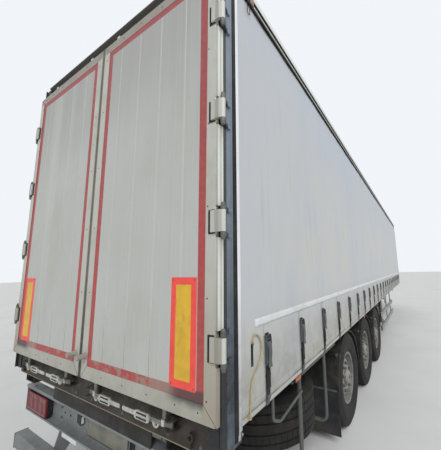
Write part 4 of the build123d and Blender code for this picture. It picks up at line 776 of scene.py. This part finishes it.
for side in SIDES:
    straps, patches, metal = meshes(3)
    webbing(straps, UPPER_LOOP, 0.046)
    webbing(straps, LOWER_RUN, 0.046)
    webbing(straps, LOOSE_END, 0.044)
    block(straps, (1.269, -0.026, 1.296), (1.2785, 0.026, 1.312), 0.0012)
    block(patches, (1.2664, -0.03, 1.538), (1.2684, 0.03, 1.6), 0.0006)
    for z in (1.545, 1.593):
        block(patches, (1.268, -0.027, z), (1.2688, 0.027, z + 0.0022), 0.0003)
    block(metal, (1.2722, -0.028, 1.366), (1.2742, 0.028, 1.536), 0.0008)
    for end in WAYS:
        pulled(metal, [(x, end * 0.0285, z) for x, z in CHEEK], (0, -end * 0.0024, 0))
        for x, z, radius, height in CHEEK_RIVETS:
            rivet(metal, (x, end * 0.0285, z), (0, end, 0), radius, height)
        arm = LEVER_LINE[:6]
        outline = [(x - 0.004, end * 0.0215, z) for x, z in arm] + [(x, end * 0.0215, z) for x, z in reversed(arm)]
        pulled(metal, outline, (0, -end * 0.0016, 0))
    for x, z, radius, sides in PINS:
        rod(metal, (x, -0.026, z), (0, 0.052, 0), radius, sides)
    webbing(metal, LEVER_LINE, 0.042)
    webbing(metal, HOOK_LINE, 0.034, 0.0024)
    for mesh in (straps, patches, metal):
        copied(mesh, STRAPS)
    strap_piece, *_ = dress(side, ("curtain_straps", straps, "strap_webbing"),
                            ("strap_patches", patches, "curtain_fabric"),
                            ("curtain_buckles", metal, "lock_zinc", "buckle_metal"))
    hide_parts("buckles_" + side)

# Tab and ring that hold the loose rope, on the right side only
ROPE_STATION = REAR + 0.314
tab, holder = meshes(2)
webbing(tab, [(1.2674, 1.42), (1.2674, 1.47), (1.268, 1.512), (1.2712, 1.524), (1.2755, 1.526)], 0.024, 0.002)
block(tab, (1.2664, -0.012, 1.402), (1.268, 0.012, 1.44), 0.0006)
moved(tab, (0, ROPE_STATION, 0))
piece("rope_tab", tab, "strap_webbing")
each(rivet, holder, 1.268, ROPE_STATION, (1.412, 1.43), OUT, 0.0035)
ring(holder, (1.2735, ROPE_STATION, 1.5245), OUT, 0.0085, 0.0016, 20, 8)
piece("rope_ring", holder, "lock_zinc", "buckle_metal")

# Loose rope: down from its ring, a bow over the curtain, then down to the rave, in mm from the doors and the ground
ROPE_ROUTE = ((314, 1525), (314, 1556), (343, 1574), (376, 1560), (402, 1528), (413, 1478), (402, 1424), (368, 1388),
              (325, 1362), (294, 1322), (282, 1262), (278, 1200), (273, 1145))
rope_curve = bpy.data.curves.new("loose_rope_line", "CURVE")
rope_curve.dimensions = "3D"
rope_curve.bevel_depth = 0.004
rope_curve.bevel_resolution = 3
rope_curve.resolution_u = 10
rope_curve.use_fill_caps = True
spline = rope_curve.splines.new("NURBS")
spline.points.add(len(ROPE_ROUTE) - 1)
for point, (station, height) in zip(spline.points, ROPE_ROUTE):
    point.co = (1.274, REAR + station / 1000, height / 1000, 1)
spline.order_u = 3
spline.use_endpoint_u = True
rope = bpy.data.objects.new("rope_over_curtain", rope_curve)
scene.collection.objects.link(rope)
rope_curve.materials.append(surface["rope_fibre"])
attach(rope, "chassis")
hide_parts("loose_rope")

# Knot that ends the rope, wound from its own short turns
knot = bmesh.new()
for turn, height, radius in ((0, 1.1475, 0.0052), (0.6, 1.1535, 0.0058), (1.2, 1.1595, 0.005)):
    ring(knot, (1.274, -6.5065, height), (0.15 * math.sin(turn * 5), 0.15, 1), radius, 0.003, 20, 8)
rope_knot = piece("rope_knot", knot, "rope_fibre")

# Tyres: ribbed tread with sipes, from one sector turned round the wheel
WHEEL_X, AXLE_Z = 1.043, 0.536
STATIONS = {1: -4.08, 2: -2.77, 3: -1.46}
HALF_PROFILE = [(0, 0.536), (0.0345, 0.5358), (0.037, 0.522), (0.045, 0.522), (0.0475, 0.5357), (0.103, 0.5348),
                (0.106, 0.5215), (0.115, 0.5215), (0.118, 0.5344), (0.159, 0.533), (0.1655, 0.529), (0.169, 0.52),
                (0.1755, 0.506), (0.1845, 0.486), (0.1885, 0.468), (0.1905, 0.466), (0.1922, 0.438), (0.1905, 0.408),
                (0.187, 0.402), (0.185, 0.376), (0.179, 0.35), (0.179, 0.342), (0.17, 0.333), (0.165, 0.306),
                (0.156, 0.296), (0.15, 0.287)]
SECTORS = 64
SIPE = 0.0105          # width of a sipe as an angle
SIPE_FLOOR = 0.991     # its depth, as a part of the radius
TREAD_LOW, MIDDLE_RIB = 0.5325, 0.035


def tyre(bm):
    """A tyre about the X axis at the origin."""
    profile = loop(bm, [(x, 0, r) for x, r in [(-x, r) for x, r in reversed(HALF_PROFILE[1:])] + HALF_PROFILE])
    sector = 2 * math.pi / SECTORS
    bmesh.ops.spin(bm, geom=profile, cent=(0, 0, 0), axis=OUT, angle=SIPE, steps=1)
    slit = [f for f in bm.faces if all(math.hypot(v.co.y, v.co.z) > TREAD_LOW for v in f.verts)]
    last = [v for v in bm.verts if abs(math.atan2(v.co.y, v.co.z)) > SIPE * 0.5]
    last_edges = [e for e in bm.edges if all(v in last for v in e.verts)]
    bmesh.ops.spin(bm, geom=last + last_edges, cent=(0, 0, 0), axis=OUT, angle=sector - SIPE, steps=1)
    cut = [f for f in slit if abs(sum(v.co.x for v in f.verts) / 4) > MIDDLE_RIB]
    for v in verts_of(bmesh.ops.extrude_face_region(bm, geom=cut)["geom"]):
        v.co *= SIPE_FLOOR
        v.co.x /= SIPE_FLOOR
    bmesh.ops.delete(bm, geom=[f for f in cut if f.is_valid], context="FACES_ONLY")
    bmesh.ops.spin(bm, geom=everything(bm), cent=(0, 0, 0), axis=OUT, angle=2 * math.pi - sector,
                   steps=SECTORS - 1, use_duplicate=True)
    bmesh.ops.remove_doubles(bm, verts=bm.verts, dist=0.0002)


tyre_mesh = bpy.data.meshes.new("tyre_master")
bm = bmesh.new()
tyre(bm)
bmesh.ops.recalc_face_normals(bm, faces=bm.faces)
bm.to_mesh(tyre_mesh)
bm.free()
for side, sign in SIDES.items():
    for number, station in STATIONS.items():
        bm = bmesh.new()
        bm.from_mesh(tyre_mesh)
        turned(bm, 0.35 * number, "X")
        moved(bm, (sign * WHEEL_X, station, AXLE_Z))
        made = piece(f"treaded_tyre_{side}_{number}", bm, "tyre_rubber", body=f"wheel_{side}_{number}")
        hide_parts(f"tyre_{side}_{number}")
bm = bmesh.new()
bm.from_mesh(tyre_mesh)
turned(bm, math.pi / 2, "Y")
moved(bm, (0.64, -5.38, 0.6725))
made = piece("treaded_spare_tyre", bm, "tyre_rubber")
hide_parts("spare_tyre")

# Tail lamps: red lens with its chambers pressed in, paler windows, lower reflector strip
for side in SIDES:
    lens, windows, backs = meshes(3)
    block(lens, (0.8192, -6.644, 0.6892), (1.2188, -6.6235, 0.8408), 0.006, 3)
    cuts = [((x, 0, 0), OUT) for x in (0.905, 1, 1.095)] + [((0, 0, z), UP) for z in (0.715, 0.795)]
    for place, normal in cuts:
        bmesh.ops.bisect_plane(lens, geom=everything(lens), plane_co=place, plane_no=normal)
    chambers = [f for f in lens.faces if f.normal.y < -0.95 and f.calc_area() > 0.0008]
    bmesh.ops.inset_individual(lens, faces=chambers, thickness=0.003, depth=-0.0016, use_even_offset=True)
    for low, high in ((1.04, 1.09), (0.842, 0.898), (0.91, 0.94)):
        block(windows, (low, -6.6434, 0.8), (high, -6.6412, 0.833), 0.0008)
    block(windows, (0.835, -6.6448, 0.6945), (1.2, -6.6412, 0.7105), 0.001)
    block(backs, (0.8235, -6.6245, 0.6935), (1.2145, -6.5802, 0.8365), 0.005, 2)
    each(slab, backs, (0.85, 0.905, 0.96, 1.08, 1.135, 1.19), -6.6015, 0.83775, (0.004, 0.037, 0.0035), 0.0006)
    dress(side, ("lamp_lens", lens, "lamp_plastic", "lens_red"),
          ("lamp_windows", windows, "lamp_plastic", "lens_clear"), ("lamp_back", backs, "lamp_plastic"))
glass = bmesh.new()
block(glass, (-0.327, -6.61, 0.7615), (-0.301, -6.583, 0.766), 0.0012)
block(glass, (-0.2712, -6.606, 0.768), (-0.2688, -6.586, 0.82), 0.0008)
piece("plate_lamp_glass", glass, "lamp_plastic", "reflective_white")

# Light carrier: turned-down upper lip, turned-up shelf lip, end lips, bolts, grommets whose dark discs are painted
# shade in the holes, and a black block painted as the shade of an opening
BEAM_X = 0.65
BEAMS = (-BEAM_X, BEAM_X)
lips, bolts, grommets_and_hole_shades = meshes(3)
block(lips, (-1.2255, -6.6535, 0.874), (1.2255, -6.6495, 0.9008), 0.0015, 2)
block(lips, (-1.2255, -6.643, 0.6695), (1.2255, -6.6395, 0.683), 0.0012, 2)
each(slab, lips, (-1.2225, 1.2225), -6.613, 0.785, (0.004, 0.07, 0.226), 0.001)
each(bolt, bolts, BEAMS, -6.58, (0.72, 0.8, 0.86), BACK, 0.0085)
for way in WAYS:
    each(bolt, bolts, [x + way * 0.0062 for x in BEAMS], (-6.5, -6.41), 0.955, (way, 0, 0), 0.009)
each(bolt, bolts, (-1.1, -0.4, 0.45, 1.1), -6.625, 0.9, UP, 0.007, 0.006)
holes = (-0.597, -0.5, 0.5, 0.597)
# Grommet rings, with dark discs as painted shade in their holes, and a black block as painted shade of an opening
each(ring, grommets_and_hole_shades, holes, -6.5806, 0.765, AHEAD, 0.0075, 0.002, 16)
each(rod, grommets_and_hole_shades, holes, -6.58, 0.765, (0, -0.0008, 0), 0.007)
block(grommets_and_hole_shades, (0.33, -6.5815, 0.7), (0.392, -6.5798, 0.828), 0.0006)
piece("carrier_lips", lips, "galvanised")
piece("carrier_bolts", bolts, *WORN_ZINC)
piece("carrier_grommets_and_hole_shades", grommets_and_hole_shades, "seal_rubber", "groove_black")

# Blank number plate in its holder, and the reflectors on the shelf's edge
holder, plate, reflectors = meshes(3)
block(holder, (-0.208, -6.584, 0.696), (0.319, -6.5802, 0.826), 0.0015, 2)
block(plate, (-0.202, -6.5856, 0.703), (0.313, -6.5836, 0.819), 0.0008, 2)
face = max((f for f in plate.faces if f.normal.y < -0.9), key=lambda f: f.calc_area())
bmesh.ops.inset_region(plate, faces=[face], thickness=0.006, depth=0.0006, use_even_offset=True, use_boundary=True)
for low in (-0.482, 0.248):
    block(reflectors, (low, -6.6462, 0.644), (low + 0.234, -6.6425, 0.674), 0.001)
    each(rivet, reflectors, (low + 0.01, low + 0.224), -6.6462, 0.659, BACK, 0.004)
piece("plate_holder", holder, "lamp_plastic")
piece("number_plate", plate, "lamp_plastic", "blank_plate")
piece("shelf_reflectors", reflectors, "lamp_plastic", "reflective_white")

# Underrun bar: end caps and bracket bolts
caps, bolts = meshes(2)
each(slab, caps, (-1.1945, 1.1945), -6.67, 0.45, (0.012, 0.1024, 0.1224), 0.0055, 3)
each(bolt, bolts, [x + way * 0.03 for x in BEAMS for way in WAYS], -6.72, (0.42, 0.48), BACK, 0.01, 0.009)
for way in WAYS:
    faces = [x + way * 0.006 for x in BEAMS]
    each(bolt, bolts, faces, (-6.54, -6.47), (0.7, 0.8), (way, 0, 0), 0.01, 0.009)
    each(bolt, bolts, faces, -6.5, 0.9, (way, 0, 0), 0.01, 0.009)
piece("underrun_caps", caps, "guard_plastic")
piece("underrun_bolts", bolts, *WORN_ZINC)

# Sill and header: the sill's lower edge, worn and with a painted highlight along it, bolts on both
edge, bolts = meshes(2)
# Pale lower edge: wear together with a painted highlight
block(edge, (-1.18, -6.7312, 1.049), (1.18, -6.7285, 1.0545), 0.0008)
each(bolt, bolts, (-1.13, -0.89, -0.47, -0.11, 0.11, 0.47, 0.89, 1.13), -6.73, 1.085, BACK, 0.0085)
each(bolt, bolts, (-1.1, -0.7, -0.3, 0.3, 0.7, 1.1), -6.718, 3.955, BACK, 0.0075, 0.006)
piece("sill_worn_and_highlit_edge", edge, "header_paint", "sill_edge")
piece("sill_bolts", bolts, *WORN_ZINC)

# Rail seal along the top of each curtain, and the clamp strip above it
for side in SIDES:
    seal, strip, rivets = meshes(3)
    block(seal, (1.264, -6.588, 3.8635), (1.28, 6.719, 3.886), 0.003, 2)
    block(strip, (1.264, -6.588, 3.952), (1.2775, 6.719, 3.999), 0.0025, 2)
    each(rivet, rivets, 1.275, [-6.4 + 0.404 * k for k in range(33)], (3.925, 3.98), OUT, 0.0045)
    dress(side, ("rail_seal", seal, "seal_rubber", "groove_black"), ("rail_strip", strip, "rail_aluminium"),
          ("rail_rivets", rivets, *WORN_ZINC))

# Lock handles: flat black ovals painted as the shade inside deep slots, a bead round each, pivot pins and a joining bar
HANDLES = ((0.284, 0.422, 0.516), (0.8, 0.662, 0.54))   # x of the near end, the far end and the tip
HANDLE_Z = 1.155
for side in SIDES:
    slot_shades, beads = meshes(2)
    for near, far, tip in HANDLES:
        way = 1 if far > near else -1
        first, last = near + way * 0.028, far - way * 0.028
        for z in (HANDLE_Z - 0.0115, HANDLE_Z + 0.0115):
            # Painted shade: flat black ovals for the inside of the slots
            slab(slot_shades, ((first + last) / 2, REAR - 0.0101, z), (abs(last - first), 0.001, 0.01), 0.0004)
            each(rod, slot_shades, (first, last), REAR - 0.0096, z, (0, -0.001, 0), 0.005)
            each(rod, beads, first, REAR - 0.0104, (z - 0.0064, z + 0.0064), (last - first, 0, 0), 0.0016, 8)
        for x in (near + way * 0.012, far - way * 0.012):
            rod(beads, (x, REAR - 0.0098, HANDLE_Z), (0, -0.0042, 0), 0.0075, edge=0.0012)
        block(beads, (min(far, tip) + 0.014, REAR - 0.0072, HANDLE_Z - 0.0035),
              (max(far, tip) - 0.014, REAR - 0.0048, HANDLE_Z + 0.0035), 0.001, 2)
        rod(beads, (tip - way * 0.016, REAR - 0.0045, HANDLE_Z), (0, -0.003, 0), 0.0042, 12)
    dress(side, ("handle_slot_shades", slot_shades, "lock_zinc", "groove_black"), ("handle_beads", beads, "lock_zinc"),
          body="door_" + side)

# Tag and steel link left hanging at the rear end of the right cant rail
LINK_Z, LINK_STRETCH = 3.8245, 0.042
tag, link = meshes(2)
block(tag, (1.2745, -6.425, 3.893), (1.28, -6.372, 3.952), 0.0015, 2)
piece("rail_tag", tag, "lock_zinc", "faded_tag")
ring(link, (1.2775, -6.446, 3.824), OUT, 0.016, 0.0026, 24, 8)
for v in link.verts:
    v.co.z += LINK_STRETCH if v.co.z > LINK_Z else -LINK_STRETCH
rod(link, (1.2775, -6.446, 3.872), (0.0015, 0.021, 0.034), 0.0028, 10)
piece("rail_link", link, "lock_zinc", "groove_black")

# Wheels: nuts with their indicators, studs, hub bolts, valve, balance weights
NUT_CIRCLE, HUB_CIRCLE, WEIGHT_CIRCLE = 0.1675, 0.077, 0.286
DISC_FACE, HUB_FACE = 0.132, 0.156


def wheel_dressing(nuts, hub, trim):
    """Everything bolted to a wheel, about the X axis at the origin, facing +X."""
    for k in range(10):
        angle = 2 * math.pi * (k + 0.5) / 10
        y, z = NUT_CIRCLE * math.sin(angle), NUT_CIRCLE * math.cos(angle)
        rod(nuts, (DISC_FACE, y, z), (0.004, 0, 0), 0.021)
        rod(nuts, (DISC_FACE + 0.0038, y, z), (0.0202, 0, 0), 0.0165, 6, edge=0.0018)
        rod(nuts, (DISC_FACE + 0.0235, y, z), (0.0165, 0, 0), 0.0108, 12, 0.0098, 0.0012)
        if k % 2:
            slab(trim, (DISC_FACE + 0.02535, y, z), (0.0017, 0.034, 0.038), 0.0006)
    for k in range(8):
        angle = 2 * math.pi * k / 8
        bolt(hub, (HUB_FACE, HUB_CIRCLE * math.sin(angle), HUB_CIRCLE * math.cos(angle)), OUT, 0.007, 0.007)
    ring(hub, (0.1705, 0, 0), OUT, 0.06, 0.0035, 32, 8)
    ring(hub, (0.1562, 0, 0), OUT, 0.0665, 0.0022, 32)
    rod(hub, (0.1755, 0, 0), (0.0045, 0, 0), 0.024, 8, 0.022, 0.001)
    ring(hub, (DISC_FACE + 0.0005, 0, 0), OUT, 0.108, 0.0016, 36)
    ring(trim, (0.159, 0, 0), OUT, 0.2935, 0.0024, 72)
    rod(trim, (0.095, 0, 0.235), (0.055, 0, 0.013), 0.005, 10, 0.0042)
    rod(trim, (0.148, 0, 0.2475), (0.014, 0, 0.0033), 0.0058, 10)
    for angle in (1.1, 4.3):
        y, z = WEIGHT_CIRCLE * math.sin(angle), WEIGHT_CIRCLE * math.cos(angle)
        slab(trim, (0.156, y, z), (0.008, 0.032, 0.012), 0.0012)


for side, sign in SIDES.items():
    for number, station in STATIONS.items():
        nuts, hub, trim = meshes(3)
        wheel_dressing(nuts, hub, trim)
        for name, mesh, *looks in (("wheel_nuts", nuts, *WORN_ZINC),
                                   ("hub_bolts", hub, "rim_paint", "hub_grease"), ("wheel_trim", trim, "rim_paint")):
            if side == "left":
                turned(mesh, math.pi, "Z")
            turned(mesh, 0.4 + 0.55 * number, "X")
            moved(mesh, (sign * WHEEL_X, station, AXLE_Z))
            piece(f"{name}_{side}_{number}", mesh, *looks, body=f"wheel_{side}_{number}")

# Mudguards: rolled ribs over each arch, clips on the stays; flap bolts and a pressed rim
GUARD_RADIUS = 0.576
RIB_PROFILE = ((-0.009, -0.002), (-0.005, 0.0035), (0.005, 0.0035), (0.009, -0.002))
RIB_ARCS = ((1.94, 2.6), (0.54, 1.2))
FLAP_BACK, FLAP_FACE = -4.665, -4.6615
FLAP_BARS = ((0.855, 1.231, 0.1215, 0.1315), (0.855, 1.231, 0.586, 0.598), (0.855, 0.865, 0.1215, 0.598),
             (1.221, 1.231, 0.1215, 0.598))
for side in SIDES:
    ribs, clips, flap_rim, flap_bolts = meshes(4)
    for station in STATIONS.values():
        centre = (0, station, AXLE_Z)
        for x, (start, end) in product((0.9, 0.985, 1.103, 1.188), RIB_ARCS):
            verts = [ribs.verts.new((x + dx, station, AXLE_Z + GUARD_RADIUS + dr)) for dx, dr in RIB_PROFILE]
            face = ribs.faces.new(verts)
            bmesh.ops.rotate(ribs, cent=centre, matrix=Matrix.Rotation(start - math.pi / 2, 3, "X"), verts=verts)
            bmesh.ops.spin(ribs, geom=[face], cent=centre, axis=OUT, angle=end - start, steps=12)
        for way in WAYS:
            y = station + way * 0.4475
            each(slab, clips, (0.88, 1.2), y, 0.92, (0.028, 0.034, 0.034), 0.003)
            each(bolt, clips, (0.88, 1.2), y + way * 0.017, 0.92, (0, way, 0), 0.008)
    for near, far, low, high in FLAP_BARS:
        block(flap_rim, (near, FLAP_BACK, low), (far, FLAP_FACE, high), 0.001)
    each(slab, flap_rim, [0.8905 + 0.036 * k for k in range(9)], -4.66255, 0.24, (0.005, 0.0021, 0.18), 0.0006)
    each(bolt, flap_bolts, (0.9, 0.995, 1.09, 1.185), -4.6645, 0.58, BACK, 0.008, 0.006)
    block(flap_bolts, (0.87, -4.6655, 0.571), (1.216, -4.6618, 0.589), 0.0008)
    dress(side, ("guard_ribs", ribs, "guard_plastic"), ("guard_clips", clips, *WORN_ZINC),
          ("flap_rims", flap_rim, "flap_rubber"), ("flap_bolts", flap_bolts, *WORN_ZINC))

# Side marker lamps: a black foot above each amber lens, ribs across it, two screws
for side in SIDES:
    feet, ribs = meshes(2)
    block(feet, (1.233, -0.06, 1.1295), (1.2635, 0.06, 1.1352), 0.002, 2)
    each(slab, feet, 1.24865, (-0.0535, 0.0535), 1.11525, (0.0283, 0.01, 0.0295), 0.002)
    each(rivet, feet, 1.2628, (-0.0535, 0.0535), 1.115, OUT, 0.003)
    each(slab, ribs, 1.262, [0.0095 * k for k in range(-4, 5)], 1.11575, (0.002, 0.0044, 0.0245), 0.0006)
    for mesh in (feet, ribs):
        copied(mesh, [station - 0.09 for station in STRAPS[1::5]])
    dress(side, ("side_lamp_feet", feet, "lamp_plastic"), ("side_lamp_ribs", ribs, "lamp_amber"))

# Chassis: bolts at the mountings, bands round the brake chambers, girdles of the air springs
CHAMBER_X, CHAMBER_Z = 0.842, 0.566
PIVOT_Z, SPRING_Y = 0.64, -0.4
for side in SIDES:
    bolts, hoops, girdles = meshes(3)
    for station in STATIONS.values():
        hanger = station + 0.5
        each(bolt, bolts, 0.653, (hanger - 0.06, hanger + 0.06), 0.93, OUT, 0.012, 0.011)
        each(bolt, bolts, 0.653, (hanger - 0.1, hanger, hanger + 0.1), 0.985, OUT, 0.012, 0.011)
        for way in WAYS:
            bolt(bolts, (BEAM_X + way * 0.077, hanger, PIVOT_Z), (way, 0, 0), 0.026, 0.018)
            ring(bolts, (BEAM_X + way * 0.0652, hanger, PIVOT_Z), OUT, 0.042, 0.003, 28)
            x = BEAM_X + way * 0.059
            for y in (station - 0.078, station + 0.078):
                rod(bolts, (x, y, 0.459), (0, 0, -0.018), 0.0155, 6, edge=0.0015)
                rod(bolts, (x, y, 0.442), (0, 0, -0.015), 0.0088, 12)
                rod(bolts, (x, y, 0.679), (0, 0, 0.017), 0.0155, 6, edge=0.0015)
        bolt(bolts, (0.592, station - 0.1, 0.628), IN, 0.014, 0.012)
        # Brake chamber: clamp band with its two ears, and the bell end
        middle = station + 0.185
        hoop(hoops, (CHAMBER_X, middle, CHAMBER_Z), 0.0778, 0.019, 0.005)
        for y in (middle - 0.088, middle + 0.088):
            slab(hoops, (CHAMBER_X, y, CHAMBER_Z), (0.016, 0.016, 0.02), 0.002)
            bolt(bolts, (CHAMBER_X, y, 0.576), UP, 0.0075)
        rod(hoops, (0.7605, middle, CHAMBER_Z), (-0.0125, 0, 0), 0.056, 28, 0.048, 0.003)
        bolt(bolts, (0.748, middle, CHAMBER_Z), IN, 0.013, 0.012)
        for z, radius in ((0.722, 0.112), (0.862, 0.13)):
            ring(girdles, (BEAM_X, station + SPRING_Y, z), UP, radius, 0.0045, 36)
    dress(side, ("chassis_bolts", bolts, *WORN_ZINC),
          ("chamber_bands", hoops, "axle_paint", "dark_steel"), ("spring_girdles", girdles, "spring_rubber"))

# Air tanks: end seams, strap bands, drain valves with their pull rings
TANKS, TANK_Z = (0.8725, 1.4325), 0.9
bands, valves = meshes(2)
each(hoop, bands, (-0.2067, 0.2067), TANKS, TANK_Z, 0.1252, 0.036, 0.003, 48)
each(hoop, bands, (-0.248, 0.248), TANKS, TANK_Z, 0.125, 0.006, 0.0022, 48)
each(bolt, bands, [way * 0.2067 + turn * 0.01 for way in WAYS for turn in WAYS], [y + 0.04 for y in TANKS], 1.06,
     AHEAD, 0.007, 0.007)
each(rod, valves, 0, TANKS, 0.776, (0, 0, -0.022), 0.013, 6, None, 0.0015)
each(ring, valves, 0, TANKS, 0.744, AHEAD, 0.012, 0.0015)
each(rod, valves, (-0.1, 0.06, 0.12), [y + 0.085 for y in TANKS], 0.985, (0, 0.02, 0.02), 0.011, 6, None, 0.001)
piece("tank_bands", bands, *WORN_ZINC)
piece("drain_valves", valves, "lock_zinc")

# Landing legs: mounting bolts, collars, gearbox cover screws, shaft sleeves and the crank's grip
LEG_X, LEG_Y = 0.8, 2.77
SHAFT_Z = 0.735
for side in SIDES:
    bolts, collars = meshes(2)
    for way in WAYS:
        each(bolt, bolts, 0.696, LEG_Y + way * 0.102, (0.815, 0.875, 0.935, 0.995), (0, way, 0), 0.012, 0.011)
        each(bolt, bolts, 0.728, LEG_Y + way * 0.08, (0.815, 0.935, 1.01), IN, 0.011, 0.01)
        bolt(bolts, (LEG_X + way * 0.068, LEG_Y, 0.07), (way, 0, 0), 0.015, 0.01)
    each(bolt, bolts, 0.86, LEG_Y, (0.47, 0.56), OUT, 0.006, 0.006)
    ring(bolts, (0.735, LEG_Y, SHAFT_Z), OUT, 0.0185, 0.004)
    for half, low, high in ((0.066, 0.42, 0.436), (0.064, 0.64, 0.648), (0.064, 1.06, 1.084)):
        block(collars, (LEG_X - half, LEG_Y - half, low), (LEG_X + half, LEG_Y + half, high), 0.003, 2)
    each(slab, collars, (0.71, 0.89), LEG_Y, 0.0139, (0.016, 0.24, 0.0042), 0.0015)
    dress(side, ("leg_bolts", bolts, *WORN_ZINC), ("leg_collars", collars, "leg_paint"))
screws, grip = meshes(2)
each(bolt, screws, 0.905, (LEG_Y - 0.044, LEG_Y + 0.044), (0.842, 0.92, 0.998), OUT, 0.007, 0.007)
rod(screws, (0.905, LEG_Y, 0.9), (0.008, 0, 0), 0.023, 24, edge=0.002)
for x in (-0.3, 0, 0.3):
    rod(screws, (x - 0.02, LEG_Y, SHAFT_Z), (0.04, 0, 0), 0.018, 20, edge=0.002)
    bolt(screws, (x, LEG_Y - 0.018, SHAFT_Z), BACK, 0.006)
rod(grip, (0.976, LEG_Y, 0.67), (0.052, 0, 0), 0.0135, 20, edge=0.003)
piece("gearbox_screws", screws, *WORN_ZINC)
piece("crank_grip", grip, "guard_plastic")

# Side guards: black end plugs, stanchion bolts, amber reflectors
STANCHIONS = [y + 0.0225 for y in [-6.43 + 0.56 * k for k in range(23)] if -0.68 < y < 2.3]
for side in SIDES:
    plugs, bolts, reflectors = meshes(3)
    each(slab, plugs, 1.23175, (-0.6815, 2.3705), (0.48, 0.78), (0.0295, 0.005, 0.103), 0.0015)
    each(bolt, bolts, 1.245, STANCHIONS, (0.455, 0.505, 0.755, 0.805), OUT, 0.0085, 0.005)
    each(slab, reflectors, 1.24675, (-0.4, 0.85, 2.1), 0.78, (0.0045, 0.1, 0.036), 0.002, 2)
    dress(side, ("rail_plugs", plugs, "guard_plastic"), ("guard_bolts", bolts, *WORN_ZINC),
          ("side_reflectors", reflectors, "lamp_amber"))

# Ratchet at the foot of each curtain pole
POLE_X, POLE_Y, RATCHET_RADIUS = 1.258, -6.5955, 0.0185
for side in SIDES:
    teeth = bmesh.new()
    for angle in [2 * math.pi * k / 10 for k in range(10)]:
        x, y = POLE_X + RATCHET_RADIUS * math.cos(angle), POLE_Y + RATCHET_RADIUS * math.sin(angle)
        slab(teeth, (x, y, 1.105), (0.004, 0.004, 0.014))
    bolt(teeth, (POLE_X, POLE_Y, 1.0962), DOWN, 0.01, 0.009)
    dress(side, ("pole_ratchet", teeth, *WORN_ZINC))

# Front wall: rivets down the ribs and corners, frame and caps of the couplings, clear marker lamps
WALL_FACE = 6.8385
CAP_FACE, COUPLING_Z = 6.834, 1.32
LAMP_X, LAMP_Z = (-1.1, 1.1), 3.803
rivets, bars, caps, feet, lenses = meshes(5)
ribs = [0.2 * k for k in range(-5, 6)]
each(rivet, rivets, ribs, 6.82, [1.46 + 0.29 * k for k in range(9)], AHEAD, 0.0055, 0.002)
each(rivet, rivets, (-1.2435, 1.2435), WALL_FACE, [1.18 + 0.21 * k for k in range(14)], AHEAD, 0.0055, 0.0014)
each(rivet, rivets, (-1.135, -0.68, -0.32, 0.32, 0.68, 1.135), WALL_FACE, (1.145, 1.19, 3.9, 3.97), AHEAD,
     0.0055, 0.0014)
each(slab, bars, (-0.3, 0.3), 6.8195, 1.33, (0.02, 0.021, 0.19), 0.003, 2)
each(slab, bars, 0, 6.819, (1.24, 1.42), (0.6, 0.02, 0.016), 0.003, 2)
piece("wall_rivets", rivets, "wall_paint")
piece("coupling_frame", bars, "wall_paint", "dark_steel")
for name, x in (("red", -0.18), ("yellow", 0.18)):
    cap = bmesh.new()
    rod(cap, (x, CAP_FACE, COUPLING_Z), (0, 0.0055, 0), 0.0225, 28, edge=0.0015)
    piece("line_cap_" + name, cap, "lamp_plastic", "cap_" + name)
each(rod, caps, (-0.06, 0.06), CAP_FACE, COUPLING_Z, (0, 0.0055, 0), 0.024, 28, None, 0.0015)
each(slab, caps, (-0.06, 0.06), 6.8355, 1.347, (0.028, 0.007, 0.01), 0.0012)
each(slab, feet, LAMP_X, 6.81475, LAMP_Z, (0.092, 0.0105, 0.046), 0.003, 2)
each(slab, lenses, LAMP_X, 6.826, LAMP_Z, (0.08, 0.014, 0.034), 0.0045, 3)
piece("plug_caps", caps, "lamp_plastic")
piece("front_lamp_feet", feet, "lamp_plastic")
piece("front_lamps", lenses, "lamp_plastic", "reflective_white")

# Pale floor
ground_mesh = bmesh.new()
bmesh.ops.create_grid(ground_mesh, x_segments=1, y_segments=1, size=90)
ground_data = bpy.data.meshes.new("ground")
ground_mesh.to_mesh(ground_data)
ground = bpy.data.objects.new("ground", ground_data)
scene.collection.objects.link(ground)
ground_data.materials.append(surface["ground_tone"])
ground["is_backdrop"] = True

low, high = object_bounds()
